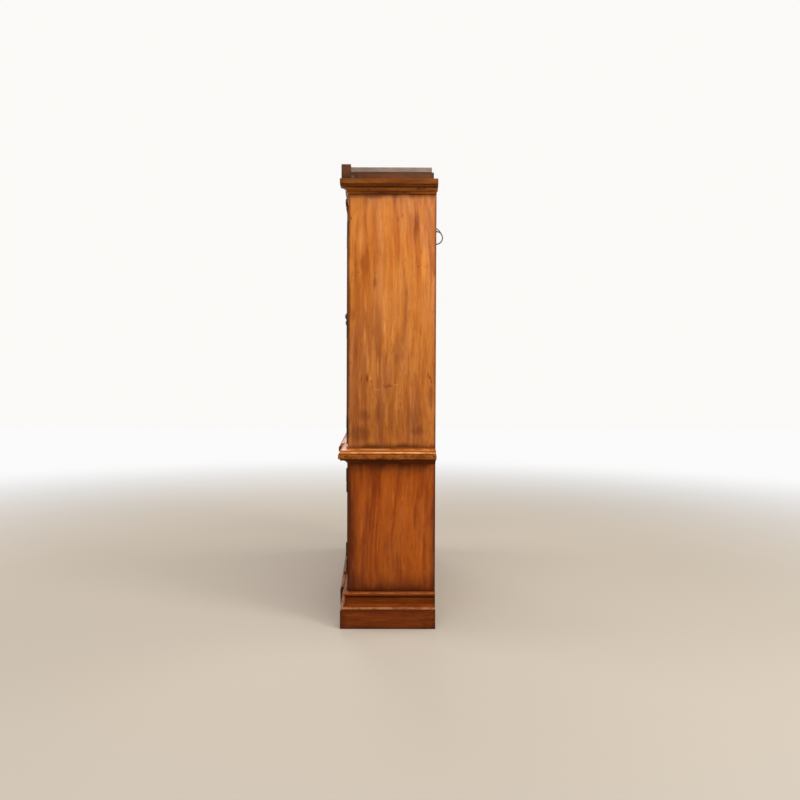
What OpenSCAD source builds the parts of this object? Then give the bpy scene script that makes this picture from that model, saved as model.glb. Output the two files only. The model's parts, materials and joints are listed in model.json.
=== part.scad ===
// Breakfront bookcase: panelled lower case, glazed upper case, moulded crown and raised centre.
// Millimetres. X runs along the front, -Y is the front, +Z is up. The origin is under the middle.

/* [Case] */
// Width of both cases between the outer faces of their sides
body_w = 1420; // [1300:10:1600]
// Depth of the wings from their front face to the back
body_d = 354; // [300:2:420]
// Width of each wing from the outer face to the break
wing_w = 340; // [300:5:400]
// Distance the centre stands forward of the wings
break_d = 12; // [8:1:40]
// Thickness of the sides
side_t = 20; // [16:1:26]
// Thickness of the partitions
partition_t = 18; // [14:1:22]
// Thickness of the floor and the top board
board_t = 18; // [14:1:22]
// Thickness of the back panels
back_t = 6; // [4:1:10]

/* [Heights] */
// Height of the plinth boards
plinth_h = 74; // [60:1:100]
// Height of the moulding on the plinth
cap_h = 72; // [66:1:90]
// Height of the underside of the ledge board
lower_h = 684; // [640:2:760]
// Thickness of the ledge board
ledge_t = 18; // [14:1:24]
// Height of the moulding round the foot of the upper case
foot_h = 26; // [22:1:34]
// Height of the upper case above the ledge
upper_h = 1102; // [1000:2:1200]
// Height of the cornice
cornice_h = 45; // [40:1:60]
// Height of the bed mould under the cornice
bed_h = 9; // [8:1:14]
// Height of the corner blocks
block_h = 57; // [40:1:70]
// Height of the blocking course behind the cornice
course_h = 50; // [30:1:60]
// Height of the raised centre above the wings
attic_h = 137; // [100:1:180]
// Height of the cornice on the raised centre
attic_cornice_h = 40; // [34:1:50]

/* [Projections] */
// Reach of the plinth boards beyond the case
plinth_p = 30; // [26:1:40]
// Reach of the ledge board beyond the case
ledge_p = 39; // [34:1:50]
// Reach of the cornice at the ends
cornice_p = 34; // [28:1:44]
// Reach of the cornice along the front
front_p = 12; // [10:1:16]
// Width of the forward ear of the cornice inside the end of the case
ear_w = 11; // [8:1:18]
// Reach of the cornice on the raised centre
attic_p = 26; // [20:1:32]
// Reach of the ledge board behind the case
ledge_back = 2; // [0:1:6]
// Reach of the two cornices behind the case
cornice_back = 4; // [3:1:8]
// Distance from the end of the case in to the blocking course
course_in = 66; // [50:1:90]
// Side of the square corner blocks
block_w = 38; // [30:1:46]
// Distance of a corner block in from the edge of the cornice
block_in = 6; // [3:1:10]

/* [Face frame] */
// Thickness of the face frames
frame_t = 20; // [18:1:24]
// Width of the outer stiles inside the sides
outer_stile = 20; // [16:1:30]
// Width of the stiles at each side of the break
break_stile = 22; // [18:1:30]
// Height of the rail seen above the plinth moulding
lower_sill = 12; // [8:1:20]
// Height of the rail seen below the ledge moulding
lower_head = 14; // [8:1:24]
// Height of the rail seen above the foot moulding
upper_sill = 10; // [6:1:20]
// Height of the frieze between the doors and the bed mould
frieze_h = 57; // [40:1:80]

/* [Doors] */
// Thickness of the door frames
door_t = 20; // [18:1:24]
// Distance the upper doors stand forward of their frame
upper_proud = 7; // [5:1:9]
// Distance the lower doors stand forward of their frame
lower_proud = 3; // [2:1:5]
// Gap round a door and between a pair
door_gap = 2; // [1.5:0.5:3]
// Width of the stiles and the top rails
stile_w = 44; // [38:1:60]
// Height of the bottom rails
sill_rail = 58; // [44:1:80]
// Width of the moulded inner edge
stick_w = 10; // [8:1:12]
// Width of the glazing bars
bar_w = 16; // [12:1:20]
// Thickness of the glass
glass_t = 3; // [3:0.5:4]
// Rows of panes in each upper door
pane_rows = 4; // [3:1:5]
// Height of the upper knobs above the floor
knob_z = 1280; // [1100:5:1400]
// Height of the keyholes above the floor
key_z = 430; // [350:5:500]

/* [Hinges] */
// Length of a hinge
hinge_l = 58; // [50:1:64]
// Radius of the knuckles
knuckle_r = 3.6; // [3:0.1:3.7]
// Radius of the hinge pins
pin_r = 1.6; // [1.4:0.1:2]
// Thickness of the leaves
leaf_t = 1; // [0.8:0.1:1]
// Reach of the leaves into the case
leaf_w = 14; // [11:1:16]
// Distance from the ends of an upper door to the middle of its outer hinges
upper_hinge_in = 75; // [60:5:120]
// Distance from the ends of a lower door to the middle of its hinges
lower_hinge_in = 78; // [60:5:120]

/* [Inside] */
// Shelves in each bay of the upper case
upper_shelves = 3; // [2:1:4]
// Thickness of the shelves
shelf_t = 18; // [14:1:22]
// Side of the cleats under the shelves
cleat = 12; // [10:1:16]

/* [Light and cord] */
// Radius of the light's can
can_r = 34; // [28:1:40]
// Height of the light's can
can_h = 52; // [40:1:60]
// Radius of the cord
cord_r = 2.75; // [2.5:0.05:2.9]
// Distance between neighbouring turns of the coil
turn_pitch = 6.2; // [6.2:0.1:7]
// Radius of the coil's turns
coil_r = 31; // [30:0.5:33]
// Depth of the cord's hole below the top board
exit_drop = 31; // [20:1:36]

/* [Hidden] */
$fn = 48;

// Joint line left between glued pieces, and slack left round loose ones
glue = 0.1;
slack = 0.2;

// Places in depth
total_d = ledge_p + break_d + body_d + cornice_back;
back_y = total_d / 2 - cornice_back;
wing_y = back_y - body_d;
centre_y = wing_y - break_d;
inner_y = wing_y + frame_t;
panel_y = back_y - back_t;

// Places across
end_x = body_w / 2;
inner_x = end_x - side_t;
break_x = end_x - wing_w;

// Places in height
cap_top = plinth_h + cap_h;
ledge_z = lower_h + ledge_t;
foot_top = ledge_z + foot_h;
crown_z = ledge_z + upper_h;
cornice_z = crown_z - cornice_h;
bed_z = cornice_z - bed_h;
attic_z = crown_z + attic_h;

// Door openings, from sill to head
cove_h = 20;
lower_open = [cap_top + lower_sill, lower_h - cove_h - lower_head];
upper_open = [foot_top + upper_sill, bed_z - frieze_h];

// Hinge line, measured from the edge of the opening and from the face of the frame
leaf_space = 0.6;
hinge_gap = 2 * leaf_t + leaf_space;
knuckle_clear = 0.4;
axis_in = knuckle_r + knuckle_clear - hinge_gap;
axis_out = knuckle_r + knuckle_clear;

// Doors from left to right: opening edges across, face of the frame, side of the hinges
door_bays = [
    [-inner_x + outer_stile, -break_x - break_stile, wing_y, -1],
    [-break_x + break_stile, 0, centre_y, -1],
    [0, break_x - break_stile, centre_y, 1],
    [break_x + break_stile, inner_x - outer_stile, wing_y, 1]
];

// Bays for shelves from left to right: limits across
bays = [
    [-inner_x, -break_x - partition_t / 2],
    [-break_x + partition_t / 2, break_x - partition_t / 2],
    [break_x + partition_t / 2, inner_x]
];

// Outline of the case in plan, from the left back corner round the front, outside on the right
function case_path(back) = [
    [-end_x, back], [-end_x, wing_y], [-break_x, wing_y], [-break_x, centre_y],
    [break_x, centre_y], [break_x, wing_y], [end_x, wing_y], [end_x, back]
];

// Plain helpers

// Box from its low corner to its high corner
module box(low, high) {
    translate(low) cube(high - low);
}

// Centre of the circle of radius r through a and b that lies to the right of the way from a to b
function arc_centre(a, b, r) =
    let (chord = b - a, half = norm(chord) / 2, away = sqrt(r * r - half * half))
    (a + b) / 2 + away * [chord[1], -chord[0]] / norm(chord);

// Disc whose edge passes through a and b
module arc_disc(a, b, r) {
    translate(arc_centre(a, b, r)) circle(r);
}

// Straight run of a moulding along +X that reaches out to -Y. Its section is the child, drawn with
// x as the reach and y as the height. A mitre of 1 is an outer corner, -1 an inner one, 0 a square end.
module run(length, reach, start, finish) {
    intersection() {
        translate([-reach, 0, 0]) rotate([90, 0, 90]) linear_extrude(length + 2 * reach)
            mirror([1, 0]) children();
        translate([0, 0, -1]) linear_extrude(crown_z + attic_h + 2) polygon([
            [glue / 2, 0], [length - glue / 2, 0],
            [length - glue / 2 + finish * reach, -reach], [glue / 2 - start * reach, -reach]
        ]);
    }
}

// Mitre of the corner at point i of a path: 1 outer, -1 inner, 0 at the ends
function mitre(path, i) = i == 0 || i == len(path) - 1 ? 0
    : sign(cross(path[i] - path[i - 1], path[i + 1] - path[i]));

// Mitred moulding along a path, as one piece for each straight stretch
module moulding(path, reach) {
    for (i = [0 : len(path) - 2]) {
        way = path[i + 1] - path[i];
        translate([path[i][0], path[i][1], 0]) rotate(atan2(way[1], way[0]))
            run(norm(way), reach, mitre(path, i), mitre(path, i + 1)) children();
    }
}

// Copies its child at both ends of the bookcase
module both_ends() {
    children();
    mirror([1, 0, 0]) children();
}

// Plinth

module plinth_boards() color("saddlebrown") {
    moulding(case_path(back_y), plinth_p) square([plinth_p, plinth_h]);
    box([-inner_x, panel_y - side_t, 0], [inner_x, panel_y, cap_top - board_t]);
}

// Section of the plinth moulding: slope, band, groove and bead from the bottom up
module cap_section() {
    slope_top = plinth_h + 25;
    band_top = slope_top + 23;
    bead_z = band_top + 5;
    bead_r = (cap_top - bead_z) / 2;
    band_p = 11;
    bead_p = 17;
    slope_p = plinth_p - 4;
    foot = [slope_p, plinth_h + 3];
    shoulder = [band_p + 2, slope_top];
    difference() {
        polygon([[0, plinth_h], [slope_p, plinth_h], foot, shoulder, [0, slope_top]]);
        arc_disc(foot, shoulder, 36);
    }
    translate([0, slope_top]) square([band_p, band_top - slope_top]);
    translate([0, band_top]) square([band_p - 3, bead_z - band_top]);
    translate([0, bead_z]) square([bead_p - bead_r, 2 * bead_r]);
    translate([bead_p - bead_r, bead_z + bead_r]) circle(bead_r);
}

module plinth_cap() color("peru") moulding(case_path(back_y), plinth_p) cap_section();

// Lower case

module lower_sides() color("sienna") both_ends()
    box([inner_x, wing_y, 0], [end_x, back_y, lower_h]);

module lower_partitions() color("sienna") both_ends()
    box([break_x - partition_t / 2, inner_y, cap_top], [break_x + partition_t / 2, panel_y, lower_h]);

module lower_floor() color("sienna")
    box([-inner_x, inner_y, cap_top - board_t], [inner_x, panel_y, cap_top]);

module lower_back() color("tan")
    box([-inner_x, panel_y, 0], [inner_x, back_y, lower_h]);

// Face frame with stiles from foot to head and rails below and above the opening
module face_frame(foot, opening, head) {
    both_ends() {
        box([inner_x - outer_stile, wing_y, foot], [inner_x, inner_y, head]);
        box([break_x + glue, wing_y, foot], [break_x + break_stile, inner_y, head]);
        box([break_x - break_stile, centre_y, foot], [break_x, inner_y, head]);
        for (z = [[foot, opening[0]], [opening[1], head]])
            box([break_x + break_stile + glue, wing_y, z[0]],
                [inner_x - outer_stile - glue, inner_y, z[1]]);
    }
    for (z = [[foot, opening[0]], [opening[1], head]])
        box([-break_x + break_stile + glue, centre_y, z[0]],
            [break_x - break_stile - glue, inner_y, z[1]]);
}

module lower_face_frame() color("sienna") face_frame(0, lower_open, lower_h);

// Ledge

// Plan of a board that follows the case at a constant reach
module plan(reach, back) {
    front = [for (i = [1 : 6]) case_path(back)[i]];
    polygon(concat(
        [[-end_x - reach, back]],
        [for (point = front) [point[0] + sign(point[0]) * reach, point[1] - reach]],
        [[end_x + reach, back]]
    ));
}

module ledge_board() color("peru") translate([0, 0, lower_h]) linear_extrude(ledge_t)
    plan(ledge_p, back_y + ledge_back);

// Section of the hollow moulding under the ledge board
module cove_section() {
    low_z = lower_h - cove_h;
    step_p = ledge_p - 8;
    step_h = 6;
    foot = [4, low_z + 2];
    brim = [step_p - 2, lower_h - step_h];
    difference() {
        polygon([[0, low_z], [4, low_z], foot, brim, [0, brim[1]]]);
        arc_disc(foot, brim, 24);
    }
    translate([0, lower_h - step_h]) square([step_p, step_h]);
}

module ledge_cove() color("peru") moulding(case_path(back_y), ledge_p) cove_section();

// Section of the moulding round the foot of the upper case: a swelling slope under a small fillet
module foot_section() {
    toe_p = ledge_p - 3;
    toe = [toe_p, ledge_z + 4];
    brow = [9, foot_top - 8];
    translate([0, ledge_z]) square([toe_p, 4]);
    intersection() {
        translate([0, ledge_z]) square([toe_p, brow[1] - ledge_z]);
        arc_disc(brow, toe, 22);
    }
    translate([0, ledge_z]) square([brow[0], brow[1] - ledge_z]);
    translate([0, brow[1]]) square([5, 8]);
}

module foot_moulding() color("peru") moulding(case_path(back_y), ledge_p) foot_section();

// Upper case

module upper_sides() color("chocolate") both_ends()
    box([inner_x, wing_y, ledge_z], [end_x, back_y, crown_z]);

module upper_partitions() color("sienna") both_ends()
    box([break_x - partition_t / 2, inner_y, ledge_z],
        [break_x + partition_t / 2, panel_y, crown_z - board_t]);

module upper_top() color("sienna")
    box([-inner_x, inner_y, crown_z - board_t], [inner_x, panel_y, crown_z]);

module upper_back() color("tan") difference() {
    box([-inner_x, panel_y, ledge_z], [inner_x, back_y, crown_z]);
    translate([exit_x, panel_y - 1, exit_z]) rotate([-90, 0, 0]) cylinder(r = gland_r, h = back_t + 2);
}

module upper_face_frame() color("sienna") face_frame(ledge_z, upper_open, crown_z);

// Shelves, each on a cleat at both ends

// Heights of the undersides of the shelves between a floor and a ceiling
function shelf_heights(low, high, count) =
    [for (i = [1 : count]) low + (high - low) * i / (count + 1) - shelf_t / 2];

shelf_places = concat(
    shelf_heights(cap_top, lower_h, 1),
    shelf_heights(ledge_z, upper_open[1], upper_shelves)
);
shelf_front = inner_y + 2;
shelf_back = panel_y - 1;

module shelves() color("sienna")
    for (bay = bays, z = shelf_places)
        box([bay[0] + 0.5, shelf_front, z], [bay[1] - 0.5, shelf_back, z + shelf_t]);

module shelf_cleats() color("saddlebrown")
    for (bay = bays, z = shelf_places, side = [0, 1])
        translate([bay[side], shelf_front + 20, z - cleat]) mirror([side, 0, 0])
            rotate([-90, 0, 0]) linear_extrude(shelf_back - shelf_front - 30)
                polygon([[0, 0], [0, -cleat], [cleat, -cleat], [cleat, -cleat / 2], [cleat / 2, 0]]);

// Crown

// Section of the cornice at a given reach: slope, fillet and fascia from the bottom up
module cornice_section(reach) {
    fascia_z = crown_z - 21;
    fillet_z = crown_z - 30;
    foot_p = 9;
    foot = [foot_p, cornice_z];
    brim = [reach - 3, fillet_z];
    difference() {
        polygon([[0, cornice_z], foot, brim, [0, fillet_z]]);
        if (reach > foot_p + 6) arc_disc(foot, brim, 24);
    }
    translate([0, fillet_z]) square([reach - 2.5, fascia_z - 1.5 - fillet_z]);
    translate([0, fascia_z - 1.5]) square([reach - 5, 1.5]);
    translate([0, fascia_z]) square([reach, crown_z - fascia_z]);
}

ear_x = end_x - ear_w;

// Plan of the cornice on the front between the two ears
front_path = [
    [-ear_x, wing_y], [-break_x, wing_y], [-break_x, centre_y],
    [break_x, centre_y], [break_x, wing_y], [ear_x, wing_y]
];

// Plan of the cornice round the right ear to the back
right_path = [[ear_x, wing_y], [end_x, wing_y], [end_x, back_y + cornice_back]];

module cornice() color("peru") {
    moulding(front_path, front_p) cornice_section(front_p);
    both_ends() moulding(right_path, cornice_p) cornice_section(cornice_p);
}

// Section of the bed mould: a half round over a fillet
bed_p = 5;

module bed_section() {
    bead_r = bed_h / 3;
    translate([0, bed_z]) square([bed_p, bed_h]);
    translate([bed_p, cornice_z - bead_r]) circle(bead_r);
}

module bed_mould() color("peru") moulding(case_path(back_y), bed_p + bed_h / 3) bed_section();

module corner_blocks() color("saddlebrown") both_ends() {
    outer = end_x + cornice_p - block_in;
    front = wing_y - cornice_p + block_in;
    box([outer - block_w, front, crown_z], [outer, front + block_w, crown_z + block_h]);
}

// Blocking course: a low box that stands on each wing behind the cornice
module blocking_course() color("saddlebrown") both_ends() {
    outer = end_x - course_in;
    top = crown_z + course_h;
    near = break_x + glue;
    far = outer - board_t - glue;
    box([outer - board_t, inner_y, crown_z], [outer, panel_y, top]);
    box([near, inner_y, crown_z], [far, inner_y + board_t, top]);
    box([near, panel_y - board_t, crown_z], [far, panel_y, top]);
    box([near, inner_y + board_t + glue, top - board_t], [far, panel_y - board_t - glue, top]);
}

// Raised centre

module attic_boards() color("saddlebrown") {
    box([-break_x, centre_y, crown_z + glue], [break_x, inner_y, attic_z]);
    both_ends()
        box([break_x - board_t, inner_y + glue, crown_z], [break_x, back_y, attic_z]);
    box([-break_x + board_t + glue, back_y - board_t, crown_z],
        [break_x - board_t - glue, back_y, attic_z - board_t - glue]);
    box([-break_x + board_t + glue, inner_y + glue, attic_z - board_t],
        [break_x - board_t - glue, back_y, attic_z]);
}

// Section of the upper cornice: hollow, fillet and fascia
module attic_section() {
    low_z = attic_z - attic_cornice_h;
    fascia_z = attic_z - 20;
    foot = [3, low_z + 3];
    brim = [attic_p - 5, fascia_z - 3];
    difference() {
        polygon([[0, low_z], [3, low_z], foot, brim, [0, brim[1]]]);
        arc_disc(foot, brim, 17);
    }
    translate([0, brim[1]]) square([attic_p - 3, 3]);
    translate([0, fascia_z]) square([attic_p, attic_z - fascia_z]);
}

attic_path = [
    [-break_x, back_y + cornice_back], [-break_x, centre_y],
    [break_x, centre_y], [break_x, back_y + cornice_back]
];

module attic_cornice() color("peru") moulding(attic_path, attic_p) attic_section();

// Light and its cord

light_y = wing_y + body_d / 2;
exit_x = 0;
exit_z = crown_z - board_t - exit_drop;
gland_r = 7;
sleeve_l = 20;
can_top = crown_z - board_t;

module cabinet_light() color("gold") {
    translate([exit_x, light_y, can_top - can_h]) difference() {
        cylinder(r = can_r, h = can_h);
        translate([0, 0, -1]) cylinder(r = can_r - 2, h = can_h - 2);
    }
    translate([exit_x, light_y, can_top - can_h + 4]) cylinder(r = can_r - 2 - slack, h = 4);
    translate([exit_x, light_y + can_r, exit_z]) rotate([-90, 0, 0])
        cylinder(r = cord_r, h = panel_y - 3 - light_y - can_r);
}

// Gland through the back with a tapered sleeve outside
module cord_grommet() color("dimgray") translate([exit_x, panel_y, exit_z]) rotate([-90, 0, 0]) {
    translate([0, 0, -3]) cylinder(r = gland_r + 3, h = 3);
    cylinder(r = gland_r - glue, h = back_t);
    translate([0, 0, back_t]) cylinder(r1 = gland_r + 1, r2 = cord_r + 1.5, h = sleeve_l);
}

// Route of the free cord from its exit, as steps back and up. The tail starts where the coil ends.
lead_route = [
    [0, 0], [9, 0], [18.6, -0.8], [27.8, -3.3], [36.5, -7.4], [44.4, -12.9],
    [51.1, -19.6], [56.6, -27.5], [59.6, -32.7]
];
tail_route = [
    [0, 0], [-6.8, -2.8], [-12.6, -7.3], [-17, -13.1], [-19.8, -19.8], [-20.8, -27],
    [-20.8, -41], [-20.8, -56], [-20.8, -71]
];
coil_start = 30;
coil_end = -75;
coil_turns = 8 + (coil_start - coil_end) / 360;
straight = 2 * cord_r;
exit_y = back_y + sleeve_l;

// Steps back and up of the hanging coil's axis for each step across
coil_lean = [-0.083, -0.186];

// Direction of travel at an angle round the coil
function onward(angle) = [sin(angle), -cos(angle)];

lead_end = [exit_y, exit_z] + lead_route[len(lead_route) - 1];
coil_centre = lead_end + straight * onward(coil_start)
    - coil_r * [cos(coil_start), sin(coil_start)];

// The turns lie side by side, and each goes down and round towards the case
function turn_point(t) =
    let (angle = coil_start - 360 * t, across = turn_pitch * t)
    let (at = coil_centre + coil_r * [cos(angle), sin(angle)] + across * coil_lean)
    [exit_x + across, at[0], at[1]];

rings_per_turn = 24;
turn_steps = round(coil_turns * rings_per_turn);
coil_points = [for (i = [0 : turn_steps]) turn_point(coil_turns * i / turn_steps)];
tail_first = coil_points[turn_steps] + straight * [0, onward(coil_end)[0], onward(coil_end)[1]];
coil_path = concat([[exit_x, lead_end[0], lead_end[1]]], coil_points, [tail_first]);
lead_path = [for (step = lead_route) [exit_x, exit_y + step[0], exit_z + step[1]]];
tail_path = [for (step = tail_route) tail_first + [0, step[0], step[1]]];

function path_length(path) =
    let (steps = [for (i = [1 : len(path) - 1]) norm(path[i] - path[i - 1])])
    steps * [for (step = steps) 1];

coil_gap = min([for (i = [0 : turn_steps - 13], j = [i + 13 : turn_steps])
    norm(coil_points[i] - coil_points[j])]) - 2 * cord_r;
echo(coil_gap = coil_gap);
echo(cord_length = path_length(lead_path) + path_length(coil_path) + path_length(tail_path));
echo(coil_centre = coil_centre, tail_first = tail_first);

// Tube along a path that lies nearly in a plane square to X. Its ends are cut square to the two
// directions given, each as a step back and up.
module tube(path, sides, first_way, last_way) {
    last = len(path) - 1;
    inner_ways = [for (i = [1 : last - 1])
        let (way = path[i + 1] - path[i - 1]) [way[1], way[2]] / norm([way[1], way[2]])];
    ways = concat([first_way], inner_ways, [last_way]);
    rings = [for (i = [0 : last], k = [0 : sides - 1])
        let (a = 360 * (k + 0.5) / sides)
        path[i] + cord_r * [cos(a), sin(a) * -ways[i][1], sin(a) * ways[i][0]]];
    walls = [for (i = [0 : last - 1], k = [0 : sides - 1])
        let (a = i * sides + k, b = i * sides + (k + 1) % sides)
        each [[a, a + sides, b], [b, a + sides, b + sides]]];
    caps = [for (k = [1 : sides - 2])
        each [[0, k, k + 1], [last * sides, last * sides + k + 1, last * sides + k]]];
    polyhedron(points = rings, faces = concat(walls, caps));
}

module cord_lead() color("darkslategray") {
    tube(lead_path, 8, [1, 0], onward(coil_start));
    tube(tail_path, 8, onward(coil_end), [0, -1]);
}

module cord_coil() color("darkslategray") tube(coil_path, 6, onward(coil_start), onward(coil_end));

// Flat tie round the turns. The first turn starts below it, so it holds one less than the coil has
tie_at = 85;
tie_t = 1.5;
tie_w = 6;

module cord_tie() color("black") {
    tied_turns = floor(coil_turns);
    first_x = turn_pitch * (1 - (tie_at - coil_start) / 360);
    wide = (tied_turns - 1) * turn_pitch + 2 * cord_r + 1;
    thick = 2 * cord_r + 1;
    middle_x = first_x + (tied_turns - 1) * turn_pitch / 2;
    translate([exit_x, coil_centre[0], coil_centre[1]])
        multmatrix([[1, 0, 0, 0], [coil_lean[0], 1, 0, 0], [coil_lean[1], 0, 1, 0]])
        rotate([tie_at, 0, 0]) translate([middle_x, coil_r, 0]) difference() {
            cube([wide + 2 * tie_t, thick + 2 * tie_t, tie_w], center = true);
            cube([wide, thick, tie_w + 2], center = true);
        }
}

plug_point = tail_path[len(tail_path) - 1];
plug_h = 40;

// Plug that hangs pins down, with a moulded neck
module plug() color("dimgray") translate(plug_point) {
    translate([0, 0, -14]) cylinder(r1 = 7, r2 = 4.5, h = 14);
    translate([0, 0, -plug_h]) intersection() {
        cylinder(r = 15, h = plug_h - 14);
        translate([-15, -11, 0]) cube([30, 22, plug_h]);
    }
    for (side = [-1, 1])
        translate([side * 6.35 - 0.75, -3.2, -plug_h - 16]) cube([1.5, 6.4, 16]);
}

// Doors. A door is drawn with its lower left corner at the origin and its front at y = 0.

// Width and height of a door, its lower left corner and the face of its frame
function door_x(i) = let (bay = door_bays[i])
    bay[3] < 0 ? bay[0] + hinge_gap : bay[0] + (bay[0] == 0 ? door_gap / 2 : door_gap);
function door_end(i) = let (bay = door_bays[i])
    bay[3] > 0 ? bay[1] - hinge_gap : bay[1] - (bay[1] == 0 ? door_gap / 2 : door_gap);
function door_w(i) = door_end(i) - door_x(i);
function door_h(opening) = opening[1] - opening[0] - 2 * door_gap;

module place_door(i, opening, proud) {
    translate([door_x(i), door_bays[i][2] - proud, opening[0] + door_gap]) children();
}

// Front edge of a frame that faces the opening: a quarter round with a flat
module stick_section(depth) {
    round_r = min(6, stick_w - 2, depth - 2);
    difference() {
        square([stick_w, depth]);
        translate([stick_w - round_r, 0]) square([round_r, round_r]);
    }
    intersection() {
        translate([stick_w - round_r, round_r]) circle(round_r);
        square([stick_w, depth]);
    }
}

// Moulded strips round the opening of a frame, one for each side
module inner_strip(w, h, side, strip_w) {
    left = stile_w - strip_w;
    low = sill_rail - strip_w;
    high = h - stile_w + strip_w;
    long = side % 2 == 0 ? w - 2 * left : high - low;
    corner = [[left, low], [left, high], [w - left, high], [w - left, low]][side];
    translate([corner[0], 0, corner[1]]) rotate([0, 90 * side, 0]) rotate([-90, 0, 0])
        run(long, strip_w, -1, -1) children();
}

// Frame of two stiles and two rails. Its children are the section of the inner edge.
module joined_frame(w, h) {
    left = stile_w - stick_w;
    low = sill_rail - stick_w;
    high = h - stile_w + stick_w;
    bodies = [
        [[left + glue, 0, 0], [w - left - glue, door_t, low]],
        [[0, 0, 0], [left, door_t, h]],
        [[left + glue, 0, high], [w - left - glue, door_t, h]],
        [[w - left, 0, 0], [w, door_t, h]]
    ];
    for (side = [0 : 3]) union() {
        box(bodies[side][0], bodies[side][1]);
        inner_strip(w, h, side, stick_w) children();
    }
}

glass_y = 9;

// Section of a glazing bar, with x as the depth: flat at the back and rounded in front
module bar_section() {
    nose_r = bar_w / 4;
    flat = 3;
    translate([glass_y - flat, -bar_w / 2]) square([flat, bar_w]);
    translate([glass_y - flat - nose_r, -nose_r]) square([nose_r, 2 * nose_r]);
    intersection() {
        translate([glass_y - flat - nose_r, -bar_w / 2]) square([nose_r, bar_w]);
        union() for (side = [-1, 1]) translate([glass_y - flat, side * nose_r]) circle(nose_r);
    }
}

// Bar from a to b in the plane of the door
module glazing_bar(a, b) {
    way = b - a;
    translate([a[0], 0, a[1]]) rotate([0, -atan2(way[1], way[0]), 0]) rotate([90, 0, 90])
        linear_extrude(norm(way)) bar_section();
}

// Loose bead that holds the glass from behind
bead_w = stick_w - 1;

module bead_section() {
    translate([0, glass_y + glass_t + 2 * slack]) square([bead_w, 5]);
}

module upper_sash(i) color("peru") {
    w = door_w(i);
    h = door_h(upper_open);
    middle = w / 2;
    low = sill_rail + glue;
    high = h - stile_w - glue;
    place_door(i, upper_open, upper_proud) {
        joined_frame(w, h) stick_section(glass_y);
        glazing_bar([middle, low], [middle, high]);
        for (row = [1 : pane_rows - 1]) {
            z = sill_rail + (h - stile_w - sill_rail) * row / pane_rows;
            glazing_bar([stile_w + glue, z], [middle - bar_w / 2 - glue, z]);
            glazing_bar([middle + bar_w / 2 + glue, z], [w - stile_w - glue, z]);
        }
        for (side = [0 : 3]) inner_strip(w, h, side, stick_w - glue) bead_section();
    }
}

module upper_glass(i) color("lightblue", 0.4) {
    edge = stile_w - stick_w + 1;
    sill = sill_rail - stick_w + 1;
    place_door(i, upper_open, upper_proud) box(
        [edge, glass_y + slack, sill],
        [door_w(i) - edge, glass_y + slack + glass_t, door_h(upper_open) - edge]
    );
}

// Turned knob that stands out of the lock stile
knob_r = 15;
knob_l = 17;
knob_cap = 9;
dome_r = 20;

module upper_knob(i) color("black") {
    lock_x = door_bays[i][3] < 0 ? door_end(i) - stile_w / 2 : door_x(i) + stile_w / 2;
    translate([lock_x, door_bays[i][2] - upper_proud, knob_z]) rotate([90, 0, 0]) {
        cylinder(r = 10, h = 3);
        cylinder(r1 = 7, r2 = 6, h = knob_l - knob_cap + 1);
        translate([0, 0, knob_l - knob_cap]) intersection() {
            cylinder(r = knob_r, h = knob_cap);
            translate([0, 0, knob_cap - dome_r]) sphere(dome_r);
        }
    }
}

// Lower doors

module lower_frame(i) color("sienna") {
    groove = [8, 13];
    place_door(i, lower_open, lower_proud) joined_frame(door_w(i), door_h(lower_open)) {
        stick_section(groove[0]);
        translate([0, groove[1]]) square([stick_w, door_t - groove[1]]);
    }
}

// Section of a raised panel across a width: tongue, slope, step and field
module panel_section(across) {
    tongue = [8 + slack, 13 - slack];
    slope = 32;
    field = 3;
    polygon([
        [0, tongue[0]], [stick_w, tongue[0]], [slope, field + 2], [slope, field],
        [across - slope, field], [across - slope, field + 2], [across - stick_w, tongue[0]],
        [across, tongue[0]], [across, tongue[1]], [0, tongue[1]]
    ]);
}

module lower_panel(i) color("chocolate") {
    edge = stile_w - stick_w + 1;
    sill = sill_rail - stick_w + 1;
    w = door_w(i) - 2 * edge;
    h = door_h(lower_open) - edge - sill;
    place_door(i, lower_open, lower_proud) translate([edge, 0, sill]) intersection() {
        linear_extrude(h) panel_section(w);
        translate([0, 0, h]) rotate([0, 90, 0]) linear_extrude(w) panel_section(h);
    }
}

// Hinges. The leaf that turns holds the middle knuckle and the fixed leaf holds the outer two.

function hinge_heights(opening, inset, count) = let (low = opening[0] + inset, high = opening[1] - inset)
    [for (k = [0 : count - 1]) low + (high - low) * k / (count - 1)];

upper_hinges = hinge_heights(upper_open, upper_hinge_in, 3);
lower_hinges = hinge_heights(lower_open, lower_hinge_in, 2);

// Sets its child, drawn for hinges on the left, at the hinge line of a door at each height
module at_hinges(i, heights) {
    bay = door_bays[i];
    edge = bay[3] < 0 ? bay[0] : bay[1];
    for (z = heights) translate([edge, bay[2], z]) mirror([bay[3] > 0 ? 1 : 0, 0, 0])
        translate([-axis_in, -axis_out, -hinge_l / 2]) children();
}

knuckle_l = hinge_l / 3;

// One leaf: knuckles over the given stretches, joined to a plate that starts at x = near
module leaf(near, stretches) {
    plate_y = knuckle_r + 0.3;
    difference() {
        union() {
            for (z = stretches) translate([0, 0, z[0]]) {
                cylinder(r = knuckle_r, h = z[1] - z[0]);
                translate([near, 0, 0]) cube([leaf_t, plate_y + 1, z[1] - z[0]]);
            }
            translate([near, plate_y, 0]) cube([leaf_t, leaf_w + axis_out - plate_y, hinge_l]);
        }
        translate([0, 0, -1]) cylinder(r = pin_r + 0.05, h = hinge_l + 2);
    }
}

module fixed_leaf() {
    leaf(axis_in, [[0, knuckle_l - slack], [2 * knuckle_l + slack, hinge_l]]);
}

module turning_leaf() {
    leaf(axis_in + leaf_t + leaf_space, [[knuckle_l, 2 * knuckle_l]]);
}

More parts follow.
